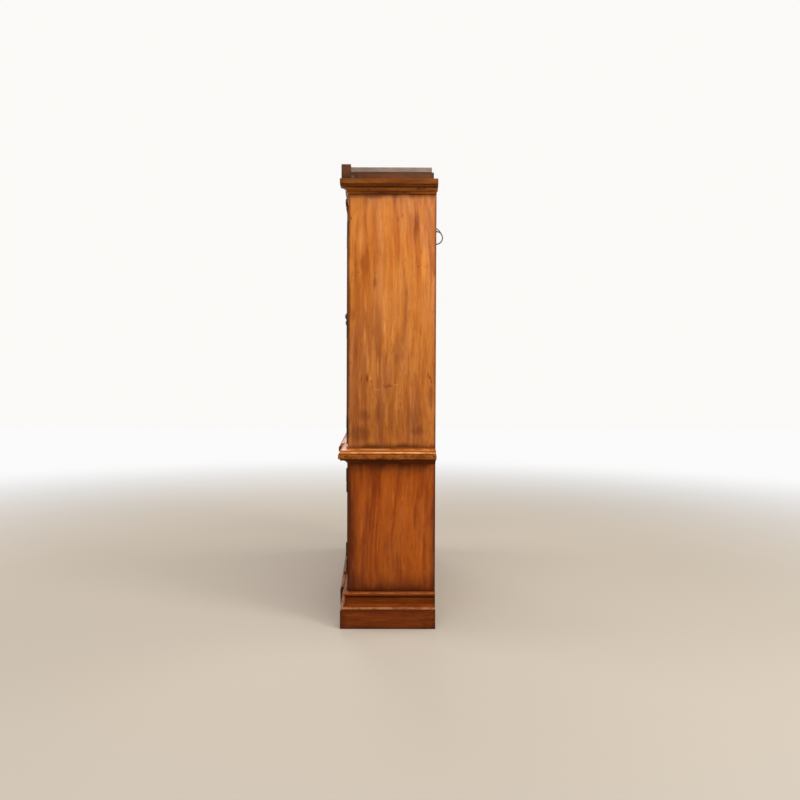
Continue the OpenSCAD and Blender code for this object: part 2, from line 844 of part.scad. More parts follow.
// Pin with a turned tip at each end
module hinge_pin() {
    tip = 3;
    cylinder(r = pin_r, h = hinge_l);
    translate([0, 0, hinge_l]) cylinder(r1 = knuckle_r - 0.8, r2 = 1.2, h = tip);
    translate([0, 0, -tip]) cylinder(r1 = 1.2, r2 = knuckle_r - 0.8, h = tip);
}

module hinge_frame_leaves() color("black") for (i = [0 : 3]) {
    at_hinges(i, upper_hinges) fixed_leaf();
    at_hinges(i, lower_hinges) fixed_leaf();
}

module hinge_pins() color("dimgray") for (i = [0 : 3]) {
    at_hinges(i, upper_hinges) hinge_pin();
    at_hinges(i, lower_hinges) hinge_pin();
}

module upper_leaves(i) color("black") at_hinges(i, upper_hinges) turning_leaf();

// Hinge leaves of a lower door with its keyhole plate
module lower_fittings(i) color("black") {
    at_hinges(i, lower_hinges) turning_leaf();
    lock_x = door_bays[i][3] < 0 ? door_end(i) - stile_w / 2 : door_x(i) + stile_w / 2;
    translate([lock_x, door_bays[i][2] - lower_proud, key_z]) rotate([90, 0, 0]) difference() {
        union() {
            cylinder(r = 9, h = 2);
            translate([-6, -20, 0]) cube([12, 20, 2]);
        }
        translate([0, 0, -1]) cylinder(r = 3, h = 4);
        translate([-1.3, -12, -1]) cube([2.6, 12, 4]);
    }
}

// Magnetic catches under the head rails, one behind each door's lock stile
module door_catches() color("gray") for (i = [0 : 3]) {
    bay = door_bays[i];
    lock_x = bay[3] < 0 ? door_end(i) - 60 : door_x(i) + 20;
    for (set = [[upper_open, upper_proud], [lower_open, lower_proud]]) {
        front = bay[2] - set[1] + door_t + 0.3;
        box([lock_x, front, set[0][1] - 12], [lock_x + 40, front + 16, set[0][1]]);
    }
}

plinth_boards();
plinth_cap();
lower_sides();
lower_partitions();
lower_floor();
lower_back();
lower_face_frame();
ledge_board();
ledge_cove();
foot_moulding();
upper_sides();
upper_partitions();
upper_top();
upper_back();
upper_face_frame();
shelves();
shelf_cleats();
cornice();
bed_mould();
corner_blocks();
blocking_course();
attic_boards();
attic_cornice();
cabinet_light();
cord_grommet();
cord_lead();
cord_coil();
cord_tie();
plug();
hinge_frame_leaves();
hinge_pins();
door_catches();
upper_sash(0);  // upper_sash_1
upper_sash(1);  // upper_sash_2
upper_sash(2);  // upper_sash_3
upper_sash(3);  // upper_sash_4
upper_glass(0);  // upper_glass_1
upper_glass(1);  // upper_glass_2
upper_glass(2);  // upper_glass_3
upper_glass(3);  // upper_glass_4
upper_knob(0);  // upper_knob_1
upper_knob(1);  // upper_knob_2
upper_knob(2);  // upper_knob_3
upper_knob(3);  // upper_knob_4
upper_leaves(0);  // upper_leaves_1
upper_leaves(1);  // upper_leaves_2
upper_leaves(2);  // upper_leaves_3
upper_leaves(3);  // upper_leaves_4
lower_frame(0);  // lower_frame_1
lower_frame(1);  // lower_frame_2
lower_frame(2);  // lower_frame_3
lower_frame(3);  // lower_frame_4
lower_panel(0);  // lower_panel_1
lower_panel(1);  // lower_panel_2
lower_panel(2);  // lower_panel_3
lower_panel(3);  // lower_panel_4
lower_fittings(0);  // lower_fittings_1
lower_fittings(1);  // lower_fittings_2
lower_fittings(2);  // lower_fittings_3
lower_fittings(3);  // lower_fittings_4
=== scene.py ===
"""Finishes, light and camera for a breakfront bookcase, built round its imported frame."""
import json
import logging
import math
from dataclasses import dataclass, field, replace
from enum import Enum
from typing import Sequence

import bmesh
import bpy
from mathutils import Matrix, Vector

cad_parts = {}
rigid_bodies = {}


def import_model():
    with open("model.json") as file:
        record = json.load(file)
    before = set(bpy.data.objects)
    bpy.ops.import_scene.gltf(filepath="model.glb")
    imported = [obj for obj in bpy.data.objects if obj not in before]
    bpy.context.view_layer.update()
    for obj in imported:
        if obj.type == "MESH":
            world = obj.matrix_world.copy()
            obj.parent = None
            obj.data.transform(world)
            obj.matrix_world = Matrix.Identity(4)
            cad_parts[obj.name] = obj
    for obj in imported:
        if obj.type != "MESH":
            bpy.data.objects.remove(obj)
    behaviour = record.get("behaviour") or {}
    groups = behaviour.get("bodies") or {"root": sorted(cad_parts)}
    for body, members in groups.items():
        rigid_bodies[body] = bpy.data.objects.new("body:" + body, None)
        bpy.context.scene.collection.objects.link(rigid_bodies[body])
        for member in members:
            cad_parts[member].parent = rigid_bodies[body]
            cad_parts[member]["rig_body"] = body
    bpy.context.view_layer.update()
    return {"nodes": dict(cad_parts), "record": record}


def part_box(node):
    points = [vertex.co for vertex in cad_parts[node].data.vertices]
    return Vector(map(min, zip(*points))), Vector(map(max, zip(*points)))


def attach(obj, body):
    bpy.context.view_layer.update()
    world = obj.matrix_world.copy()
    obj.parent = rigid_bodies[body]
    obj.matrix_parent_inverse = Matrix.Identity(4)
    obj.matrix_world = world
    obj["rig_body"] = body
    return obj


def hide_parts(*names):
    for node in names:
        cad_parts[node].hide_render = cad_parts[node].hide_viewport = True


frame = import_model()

MM = 0.001
CABINET = "cabinet"
DOORS = range(1, 5)
SHADED_AS_ONE = math.radians(35.0)
UP = Vector((0.0, 0.0, 1.0))
BACK = Vector((0.0, 1.0, 0.0))

Point = tuple[float, float, float]
Colour = tuple[float, float, float]
Ring = tuple[float, float, float, float]
Kinds = dict[str, str]
Material = bpy.types.Material
Piece = bpy.types.Object
Tree = bpy.types.NodeTree
Solid = bmesh.types.BMesh

log = logging.getLogger("bookcase")


class Grain(Enum):
    """How the grain of a board is chosen."""

    LONGEST = "along the longest side"
    UPRIGHT = "upright"


# Node trees


class Value:
    """A number, vector or colour on its way through a node tree."""

    def __init__(self, graph: "Graph", socket: bpy.types.NodeSocket) -> None:
        """Keeps the graph and the output socket."""
        self.graph = graph
        self.socket = socket

    def apply(self, operation: str, *others: object, clamp: bool = False) -> "Value":
        """Does a sum on this and other values, along each axis where this is a vector.

        Args:
            operation: Blender's name of the sum.
            others: The other values.
            clamp: Whether a number is kept between zero and one.

        Returns:
            The result.
        """
        inputs = dict(enumerate((self, *others)))
        if self.socket.type == "VALUE":
            return self.graph.add("ShaderNodeMath", inputs, operation=operation, use_clamp=clamp)
        output = "Value" if operation == "LENGTH" else "Vector"
        return self.graph.add("ShaderNodeVectorMath", inputs, output, operation=operation)

    def __add__(self, other: object) -> "Value":
        """Returns the sum."""
        return self.apply("ADD", other)

    def __sub__(self, other: object) -> "Value":
        """Returns the difference."""
        return self.apply("SUBTRACT", other)

    def __mul__(self, other: object) -> "Value":
        """Returns the product."""
        return self.apply("MULTIPLY", other)

    def fade(self, low: object, high: object, first: float = 0.0, last: float = 1.0) -> "Value":
        """Returns a smooth step from first to last as this goes from low to high."""
        inputs = {"Value": self, "From Min": low, "From Max": high, "To Min": first, "To Max": last}
        return self.graph.add("ShaderNodeMapRange", inputs, interpolation_type="SMOOTHSTEP")

    def noise(self, across: float, along: float, detail: float, output: str = "Fac") -> "Value":
        """Reads a noise at this place that is stretched along Z.

        Args:
            across: Waves to a metre along X and Y.
            along: Waves to a metre along Z.
            detail: Octaves.
            output: Fac or Color.

        Returns:
            The noise.
        """
        inputs = {"Vector": self * (across, across, along), "Scale": 1.0, "Detail": detail}
        return self.graph.add("ShaderNodeTexNoise", inputs, output)

    def split(self) -> tuple["Value", ...]:
        """Returns the three numbers of a vector."""
        return tuple(self.graph.outputs("ShaderNodeSeparateXYZ", {0: self}).values())


class Graph:
    """Adds nodes to a tree and links them, so that a finish reads as a list of steps."""

    def __init__(self, tree: Tree) -> None:
        """Keeps the tree."""
        self.tree = tree

    def node(self, kind: str, inputs: dict | None = None, **settings: object) -> bpy.types.Node:
        """Adds one node.

        Args:
            kind: Blender's name of the node's type.
            inputs: What goes into the node, by name or number.
            settings: Properties of the node.

        Returns:
            The new node.
        """
        node = self.tree.nodes.new(kind)
        for name, value in settings.items():
            setattr(node, name, value)
        self.feed(node, inputs or {})
        return node

    def add(self, kind: str, inputs: dict | None = None, output: int | str = 0, **settings: object) -> Value:
        """Adds one node and returns one of its outputs."""
        return Value(self, self.node(kind, inputs, **settings).outputs[output])

    def outputs(self, kind: str, inputs: dict | None = None, **settings: object) -> dict[str, Value]:
        """Adds one node and returns all its outputs by name."""
        return {socket.name: Value(self, socket) for socket in self.node(kind, inputs, **settings).outputs}

    def feed(self, node: bpy.types.Node, inputs: dict) -> None:
        """Links values to a node's inputs, or sets the inputs' own values.

        Args:
            node: The node.
            inputs: Values, output sockets, numbers or tuples, by the input's name or number.
        """
        for key, value in inputs.items():
            socket = node.inputs[key]
            value = getattr(value, "socket", value)
            if isinstance(value, bpy.types.NodeSocket):
                self.tree.links.new(value, socket)
                continue
            if socket.type in ("VECTOR", "RGBA") and isinstance(value, float):
                value = (value,) * 3
            socket.default_value = (*value, 1.0) if socket.type == "RGBA" else value

    def join(self, x: object = 0.0, y: object = 0.0, z: object = 0.0) -> Value:
        """Returns a vector from three numbers."""
        return self.add("ShaderNodeCombineXYZ", {0: x, 1: y, 2: z})

    def attribute(self, name: str, output: str = "Fac") -> Value:
        """Returns an output of a mesh attribute."""
        return self.add("ShaderNodeAttribute", output=output, attribute_name=name)

    def place(self) -> Value:
        """Returns the place on the object, in metres."""
        return self.add("ShaderNodeTexCoord", output="Object")

    def blend(self, share: object, first: object, second: object) -> Value:
        """Returns a colour mixed with a share of a second one."""
        inputs = {0: share, 6: first, 7: second}
        return self.add("ShaderNodeMix", inputs, 2, data_type="RGBA", clamp_factor=True)

    def bump(self, height: Value, strength: float, distance: float) -> Value:
        """Returns the normal of an uneven surface."""
        return self.add("ShaderNodeBump", {"Height": height, "Strength": strength, "Distance": distance})


def new_material(name: str, **sockets: object) -> tuple[Material, Graph, bpy.types.Node]:
    """Makes a material with one principled shader.

    Args:
        name: Name of the material.
        sockets: Values for the shader's own inputs, with spaces in their names as underscores.

    Returns:
        The material, a graph on its tree and its shader node.
    """
    material = bpy.data.materials.new(name)
    material.use_nodes = True
    material.node_tree.nodes.clear()
    graph = Graph(material.node_tree)
    inputs = {key.replace("_", " "): value for key, value in sockets.items()}
    shader = graph.node("ShaderNodeBsdfPrincipled", inputs)
    graph.node("ShaderNodeOutputMaterial", {"Surface": shader.outputs[0]})
    return material, graph, shader


def new_group(name: str, kind: str, inputs: Kinds, outputs: Kinds) -> tuple[Tree, Graph, dict[str, Value]]:
    """Makes a node group.

    Args:
        name: Name of the group.
        kind: Blender's name of the tree's type.
        inputs: Name and kind of each input.
        outputs: Name and kind of each output.

    Returns:
        The group, a graph on it and the values that go into it, by name.
    """
    tree = bpy.data.node_groups.new(name, kind)
    for way, sockets in (("INPUT", inputs), ("OUTPUT", outputs)):
        for title, sort in sockets.items():
            tree.interface.new_socket(name=title, in_out=way, socket_type="NodeSocket" + sort)
    graph = Graph(tree)
    return tree, graph, graph.outputs("NodeGroupInput")


@dataclass(frozen=True)
class Layer:
    """A noise that comes in softly, such as streaks of stain.

    Attributes:
        across: Waves to a metre across the board.
        along: Waves to a metre along it.
        low: Value of the noise where it starts to come in.
        high: Value where it is all in.
        least: Its share before.
        most: Its share after.
        detail: Octaves.
    """

    across: float
    along: float
    low: float
    high: float
    least: float = 0.0
    most: float = 1.0
    detail: float = 3.0

    def noise(self, place: Value) -> Value:
        """Returns the bare noise at a place."""
        return place.noise(self.across, self.along, self.detail)

    def cover(self, noise: Value) -> Value:
        """Returns the share that belongs to a value of the noise."""
        return noise.fade(self.low, self.high, self.least, self.most)

    def on(self, place: Value) -> Value:
        """Returns the share at a place."""
        return self.cover(self.noise(place))


@dataclass(frozen=True)
class BoardFigure:
    """The figure of a stained board, which a node group draws for all the woods.

    The group reads a place in metres with x across the board, y through it and z along the grain, and
    a number that differs from board to board.

    Attributes:
        apart: How far apart in the tree two boards are cut, along each axis.
        sway: Reach of the long bends of the grain, as curl is of the short ones.
        side: Width of the strip behind a board in which its heart lies.
        behind: Least depth of the heart, and the width of its range.
        wobble: Waves across, waves along and strength of the unevenness of a ring.
        late: Parts of a ring's width in which it darkens and turns pale again.
        plain: Where the rings show. The other layers are named after what they draw.
        raised: Height of a fibre against the depth of a pore.
        dull: How much rougher the lacquer is over a pore and over a pale patch.
    """

    apart: Point = (7.13, 3.31, 11.7)
    sway: Point = (0.08, 0.06, 0.0)
    curl: Point = (0.009, 0.006, 0.012)
    side: float = 0.16
    behind: tuple[float, float] = (0.025, 0.05)
    wobble: Point = (26.0, 2.6, 2.4)
    late: tuple[float, ...] = (0.15, 0.9, 0.92, 1.0)
    plain: Layer = Layer(7.0, 2.2, 0.40, 0.62, 0.15, detail=2.0)
    patches: Layer = Layer(15.0, 1.6, 0.38, 0.58, detail=2.0)
    red: Layer = Layer(34.0, 3.0, 0.49, 0.65, most=0.58)
    streaks: Layer = Layer(48.0, 2.6, 0.48, 0.62, most=0.68)
    fine: Layer = Layer(120.0, 9.0, 0.46, 0.66, most=0.25)
    haze: Layer = Layer(20.0, 2.0, 0.48, 0.62)
    haze_tone: Colour = (0.97, 1.10, 2.1)
    smudges: Layer = Layer(22.0, 8.0, 0.58, 0.70, most=0.35)
    flecks: Layer = Layer(90.0, 34.0, 0.585, 0.675)
    fibres: Layer = Layer(260.0, 22.0, 0.42, 0.68, detail=4.0)
    pores: Layer = Layer(1300.0, 24.0, 0.60, 0.72, detail=1.0)
    pore_tone: float = 0.35
    raised: float = 0.35
    dull: tuple[float, float] = (0.16, 0.12)

    def build(self) -> Tree:
        """Makes the group.

        Returns:
            The group, with outputs Colour, Height and Dullness.
        """
        inputs = {"Place": "Vector", "Seed": "Float", **FIGURE_INPUTS}
        outputs = {"Colour": "Color", "Height": "Float", "Dullness": "Float"}
        tree, graph, given = new_group("board figure", "ShaderNodeTree", inputs, outputs)
        body, pale, deep = (given[name] for name in ("Body", "Pale", "Deep"))
        shift = graph.join(*(given["Seed"] * step for step in self.apart))
        place = given["Place"] + shift
        sway = (place.noise(2.0, 1.4, 1.0, "Color") - 0.5) * self.sway
        curl = (place.noise(12.0, 7.0, 2.0, "Color") - 0.5) * self.curl
        bent = place + sway + curl
        rings = self.rings(graph, given, place, bent - shift)

        patches = self.patches.noise(bent)
        fibres = self.fibres.noise(bent)
        pits = self.pores.on(place)
        haze = self.haze.on(bent - 0.5) * given["Haze"]
        flecks = self.flecks.on(bent) * given["Fleck"]
        colour = graph.blend(self.patches.cover(patches) * given["Streak"], body, pale)
        colour = graph.blend(self.red.on(bent + 0.5), colour, deep)
        colour = graph.blend(self.streaks.on(bent), colour, pale)
        colour = graph.blend(self.fine.on(bent), colour, deep)
        colour = graph.blend(haze, colour, colour * self.haze_tone)
        colour = graph.blend(rings, colour, deep)
        colour = graph.blend(self.smudges.on(bent), colour, deep)
        colour = graph.blend(flecks, colour, deep * 0.5)
        colour = graph.blend(self.fibres.cover(fibres) * given["Fibre"], colour, deep)
        colour = graph.blend(pits * self.pore_tone, colour, deep)
        height = fibres * self.raised - pits
        dullness = pits * self.dull[0] + patches * self.dull[1]
        graph.node("NodeGroupOutput", {"Colour": colour, "Height": height, "Dullness": dullness})
        return tree

    def rings(self, graph: Graph, given: dict[str, Value], place: Value, bent: Value) -> Value:
        """Draws the rings round a heart that lies behind the board.

        Args:
            graph: The group's graph.
            given: What goes into the group.
            place: The place in the tree that the board is cut from.
            bent: The place on the board, bent as the grain is.

        Returns:
            Their share of the deepest tone.
        """
        least, spread = self.behind
        side, behind = ((given["Seed"] * step).apply("FRACT") for step in (5.13, 9.71))
        side = side * self.side - self.side / 2
        behind = behind * spread + least
        away = ((bent + graph.join(side, behind)) * (1.0, 1.0, 0.0)).apply("LENGTH")
        across, along, strength = self.wobble
        uneven = place.noise(across, along, 3.0) * strength
        phase = (uneven + away.apply("DIVIDE", given["Ring"])).apply("FRACT")
        darkens, darkest, turns, ends = self.late
        late = phase.fade(darkens, darkest) * phase.fade(turns, ends, 1.0, 0.0)
        return late * self.plain.on(place) * given["Figure"]


# What a wood sets in the group of its figure
FIGURE_INPUTS = {
    "Pale": "Color", "Body": "Color", "Deep": "Color", "Ring": "Float", "Figure": "Float", "Streak": "Float",
    "Fibre": "Float", "Fleck": "Float", "Haze": "Float",
}


# Finishes


@dataclass(frozen=True)
class Mark:
    """A soft spot of another tone on the right-hand end, such as a knot or a streak.

    Attributes:
        across: Place towards the back from the middle of the board's shown face, in mm.
        up: Place up from it.
        half_width: Reach across.
        half_height: Reach along.
        tone: How much darker, below zero, or lighter it is.
        swirl: How far it pushes the grain aside.
    """

    across: float
    up: float
    half_width: float
    half_height: float
    tone: float
    swirl: float = 0.0


def scaled(colour: Colour, *gains: float) -> Colour:
    """Returns a colour times one gain, or times one for each of its parts."""
    return tuple(part * gain for part, gain in zip(colour, gains * (3 // len(gains))))


@dataclass(frozen=True)
class WoodFinish:
    """A stained and lacquered wood.

    Attributes:
        name: Name of the material.
        pale: Its lightest streaks.
        body: Its usual tone.
        deep: Its darkest figure.
        worn: The tone on the crests of eased edges and in the highlight strips, partly bare wood and partly a
            painted highlight.
        ring: Space between two rings, in metres.
        figure: Strength of the rings.
        streak: Strength of the pale patches.
        fibre: Strength of the fine fibres.
        fleck: Strength of the dark flecks.
        haze: Strength of the pinkish haze in the lacquer.
        bands: Heights over the floor between which a moulding is painted darker for shade or lighter for
            light, and the gain.
        rubbed: Heights between which that lighter tone is laid as a painted highlight strip, and how strong
            it is.
        glaze: Strength of the dark glaze near a board's edges.
        glaze_reach: Its reach from the edge, in metres.
        grime: Strength of the dark tone in grooves and inside corners: painted shade, with some real dirt.
        groove: How far apart the walls of such a groove are.
        specks: Share of places with a dark dent.
        gloss: Roughness of the lacquer.
        coat: Weight of the lacquer.
        sheen: Strength of the reflection.
        dust: Share of grey on what faces up or to the ends: real dusting on top, and a painted sheen on the
            ends.
        marks: Spots on the right-hand end.
    """

    name: str
    pale: Colour
    body: Colour
    deep: Colour
    worn: Colour
    ring: float = 0.013
    figure: float = 0.32
    streak: float = 0.8
    fibre: float = 0.35
    fleck: float = 0.2
    haze: float = 0.7
    bands: tuple[Point, ...] = ()
    rubbed: tuple[Point, ...] = ()
    glaze: float = 0.5
    glaze_reach: float = 0.03
    grime: float = 0.7
    groove: float = 0.012
    specks: float = 0.35
    gloss: float = 0.36
    coat: float = 0.12
    sheen: float = 0.30
    dust: float = 0.0
    marks: tuple[Mark, ...] = ()

    def build(self, figure: Tree) -> Material:
        """Makes the material.

        Args:
            figure: The group that draws the figure.

        Returns:
            The material. It reads the attributes board, reach and seed of an eased board, and the one that
            marks its bare and highlit crests.
        """
        material, graph, shader = new_material(
            self.name, Coat_Weight=self.coat, Coat_Roughness=COAT_GLOSS, Specular_IOR_Level=self.sheen,
        )
        board = graph.attribute("board", "Vector")
        seed = graph.attribute("seed")
        place, tone = self.marked(graph, board)
        settings = {name: getattr(self, name.lower()) for name in FIGURE_INPUTS}
        inputs = {"Place": place, "Seed": seed, **settings}
        drawn = graph.outputs("ShaderNodeGroup", inputs, node_tree=figure)
        colour = drawn["Colour"]
        if self.marks:
            dark = tone.apply("MULTIPLY", -1.0, clamp=True)
            colour = graph.blend(dark, colour, scaled(self.deep, MARK_SHADE))
            light = tone.apply("MULTIPLY", 1.0, clamp=True)
            colour = graph.blend(light, colour, scaled(self.pale, *MARK_LIGHT))
        darkest, spread = BOARD_TONES
        colour = colour * ((seed * 17.3).apply("FRACT") * spread + darkest)
        # Painted shade and light: strips of a moulding darkened or lightened by height, as they lie in shade
        # or catch the light.
        for low, high, gain in self.bands:
            colour = graph.blend(self.within(graph, low, high), colour, colour * gain)
        wax_and_shade = scaled(self.body, WAX_AND_PAINTED_SHADE)
        colour = graph.blend(self.glazed(board, graph.attribute("reach", "Vector")), colour, wax_and_shade)
        # Painted shade, with some real dirt: ambient occlusion darkens grooves and inside corners, where
        # shade falls.
        near = {"Distance": self.groove}
        open_sky = graph.add("ShaderNodeAmbientOcclusion", near, "AO", samples=6, only_local=True)
        colour = graph.blend(open_sky.fade(*GROOVE_SKY, self.grime, 0.0), colour, wax_and_shade)
        dents = self.dented(graph, board, seed)
        colour = graph.blend(dents * DENT_COVER, colour, scaled(self.body, DENT_SHADE))
        # Painted highlights with real bare wood: the crests of eased edges and the highlight strips take a
        # lighter tone.
        colour = graph.blend(self.bared(graph, board), colour, self.worn)
        # Painted sheen on the ends, and real grey dusting on what faces up.
        if self.dust:
            colour = graph.blend(self.dusted(graph), colour, DUST_AND_SHEEN_TONE)
        normal = graph.bump(drawn["Height"] - dents * DENT_DEPTH, *WOOD_BUMP)
        gloss = drawn["Dullness"] + (self.gloss - MEAN_DULLNESS)
        graph.feed(shader, {"Base Color": colour, "Roughness": gloss, "Normal": normal})
        return material

    def within(self, graph: Graph, low: float, high: float) -> Value:
        """Returns one between two heights over the floor, with soft edges, and zero elsewhere.

        Args:
            graph: The material's graph.
            low: The lower height.
            high: The upper one.

        Returns:
            The share.
        """
        height = graph.place().split()[2]
        rise = height.fade(low - BAND_EDGE, low + BAND_EDGE)
        return rise * height.fade(high - BAND_EDGE, high + BAND_EDGE, 1.0, 0.0)

    def marked(self, graph: Graph, board: Value) -> tuple[Value, object]:
        """Bends the grain round the knots and adds up the tone of all marks.

        Args:
            graph: The material's graph.
            board: The place on the board.

        Returns:
            The bent place and the tone, negative where it is dark.
        """
        place = board
        total = 0.0
        if not self.marks:
            return place, total
        right_end = graph.place().split()[0].apply("GREATER_THAN", 0.0)
        torn = board + (board.noise(60.0, 20.0, 3.0, "Color") - 0.5) * MARK_TEAR
        for mark in self.marks:
            away = torn - (mark.across * MM, 0.0, mark.up * MM)
            spread = (1.0 / (mark.half_width * MM), 0.0, 1.0 / (mark.half_height * MM))
            near = (away * spread).apply("LENGTH").fade(0.2, 1.0, 1.0, 0.0) * right_end
            total = near.apply("MULTIPLY_ADD", mark.tone, total)
            if mark.swirl:
                push = away.split()[0] * (mark.swirl / mark.half_width)
                place = place - graph.join(push * near)
        return place, total * BRUSHED.on(board)

    def glazed(self, board: Value, reach: Value) -> Value:
        """Draws the dark glaze left near the edges of a board.

        Args:
            board: The place on the board.
            reach: The board's half sizes.

        Returns:
            How far it covers the board.
        """
        across, _, along = (reach - board.apply("ABSOLUTE")).split()
        cloud = board.noise(16.0, 9.0, 3.0)
        nearest = along.apply("MINIMUM", across * GLAZE_ACROSS)
        uneven = nearest + (cloud - 0.5) * (self.glaze_reach * -GLAZE_CLOUD)
        return uneven.fade(0.0, self.glaze_reach, self.glaze, 0.0)

    def dented(self, graph: Graph, board: Value, seed: Value) -> Value:
        """Scatters the dark distressing dents: some large ones, and small ones between.

        Args:
            graph: The material's graph.
            board: The place on the board.
            seed: The board's own number.

        Returns:
            One in a dent and zero elsewhere.
        """
        place = (board + graph.join(seed, seed * 3.7, seed * 5.9)) * (1.0, 1.0, 0.55)
        place = place + board.noise(260.0, 260.0, 2.0, "Color") * 0.004
        found = 0.0
        least, spread = DENT_SIZES
        for scale, share in DENT_GRIDS:
            cells = graph.outputs("ShaderNodeTexVoronoi", {"Vector": place, "Scale": scale})
            chance, large, _ = cells["Color"].split()
            size = large.apply("POWER", 2.0) * spread + least
            inside = cells["Distance"].fade(size * 0.6, size, 1.0, 0.0)
            picked = chance.apply("LESS_THAN", self.specks * share)
            found = (inside * picked).apply("MAXIMUM", found)
        return found

    def bared(self, graph: Graph, board: Value) -> Value:
        """Returns how far the lighter tone covers: the crests of eased edges, partly bare wood and partly a
        painted highlight, and the painted highlight strips.

        Args:
            graph: The material's graph.
            board: The place on the board.

        Returns:
            The share of bare wood and painted highlight.
        """
        wear_and_highlight = graph.attribute("wear_and_highlight")
        for low, high, strength in self.rubbed:
            wear_and_highlight = wear_and_highlight.apply("MAXIMUM", self.within(graph, low, high) * strength)
        return wear_and_highlight * BARE_AND_HIGHLIGHT_PATCHES.on(board)

    def dusted(self, graph: Graph) -> Value:
        """Returns where it turns grey: a painted sheen on the ends, and less dusting on what faces up.

        Args:
            graph: The material's graph.

        Returns:
            The share of grey.
        """
        coordinates = graph.outputs("ShaderNodeTexCoord")
        ends, _, up = coordinates["Normal"].split()
        on_ends, on_top = DUST_AND_SHEEN_SHARES
        facing = (ends.apply("ABSOLUTE") * on_ends).apply("MAXIMUM", up * on_top).apply("MAXIMUM", 0.0)
        cloud = coordinates["Object"].noise(18.0, 18.0, 4.0)
        return facing * cloud.fade(0.3, 0.7, self.dust * 0.6, self.dust)


@dataclass(frozen=True)
class PlainFinish:
    """A metal, rubber, plastic or paint with uneven patches, and with lighter crests where it has such a
    tone: partly bare, partly a painted highlight.

    Attributes:
        name: Name of the material.
        colour: Its usual tone.
        second: The tone of its patches.
        metallic: One for a metal.
        low_gloss: Its least roughness.
        high_gloss: Its greatest roughness.
        grain: Patches to a metre.
        bump: Strength of its unevenness.
        worn: The tone of its crests and rims, partly bare and partly a painted highlight, if it has one.
    """

    name: str
    colour: Colour
    second: Colour
    metallic: float
    low_gloss: float
    high_gloss: float
    grain: float = 60.0
    bump: float = 0.1
    worn: Colour | None = None

    def build(self) -> Material:
        """Makes the material.

        Returns:
            The material.
        """
        material, graph, shader = new_material(self.name, Metallic=self.metallic)
        place = graph.place()
        fine = self.grain * 18.0
        cloud = place.noise(self.grain, self.grain, 4.0)
        colour = graph.blend(cloud.fade(0.38, 0.64), self.colour, self.second)
        # Lighter crests and rims: partly bare metal, partly a painted highlight.
        if self.worn:
            colour = graph.blend(graph.attribute("wear_and_highlight") * 0.8, colour, self.worn)
        gloss = cloud.fade(0.3, 0.7, self.low_gloss, self.high_gloss)
        normal = graph.bump(place.noise(fine, fine, 2.0), self.bump, 0.0003)
        graph.feed(shader, {"Base Color": colour, "Roughness": gloss, "Normal": normal})
        return material


@dataclass(frozen=True)
class GlassFinish:
    """Clear sheet glass with the faint waves of an old pane."""

    tint: Colour = (0.93, 0.97, 0.95)
    wave: float = 0.15

    def build(self) -> Material:
        """Makes the material.

        Returns:
            The material.
        """
        material, graph, shader = new_material(
            "old sheet glass", Base_Color=self.tint, Roughness=0.02, IOR=1.45, Transmission_Weight=1.0,
        )
        waves = graph.place().noise(9.0, 5.0, 1.0)
        graph.feed(shader, {"Normal": graph.bump(waves, self.wave, 0.004)})
        return material


# Grey dusting and painted sheen: its tone and its shares on the ends and on what faces up
DUST_AND_SHEEN_TONE = (0.34, 0.285, 0.24)
DUST_AND_SHEEN_SHARES = (0.8, 0.45)

# The lacquer: roughness of its top coat, what pores and patches add to the rest on average, and its bump
COAT_GLOSS = 0.25
MEAN_DULLNESS = 0.06
WOOD_BUMP = (0.35, 0.0002)

# Brightness of the darkest board and how far the others go over it
BOARD_TONES = (0.9, 0.2)

# Soft edge of a moulding's painted shade and light strips, and how open to the sky a groove and a flat face
# are, for the painted shade in grooves
BAND_EDGE = 1.5 * MM
GROOVE_SKY = (0.35, 0.92)

# Dents: cover, depth, least size and spread, and each grid with its part of the share of specks
DENT_COVER = 0.85
DENT_DEPTH = 3.0
DENT_SIZES = (0.015, 0.050)
DENT_GRIDS = ((16.0, 1.0), (52.0, 0.5))

# Glaze: how much narrower it is along the grain, and how uneven its edge is
GLAZE_ACROSS = 2.2
GLAZE_CLOUD = 1.6

# How far the edge of a mark is torn, and the shares of a wood's own tones in a dark and a light mark,
# in the edge glaze and the painted shade of a groove, and at the bottom of a dent
MARK_TEAR = (0.012, 0.0, 0.03)
MARK_SHADE = 0.6
MARK_LIGHT = (1.15, 1.3, 1.9)
WAX_AND_PAINTED_SHADE = 0.22
DENT_SHADE = 0.12

# How the brush left a mark, and where the lighter tone of bare wood and painted highlight breaks up on an
# edge
BRUSHED = Layer(110.0, 11.0, 0.38, 0.62, 0.75, 1.08)
BARE_AND_HIGHLIGHT_PATCHES = Layer(40.0, 22.0, 0.38, 0.6, 0.25)

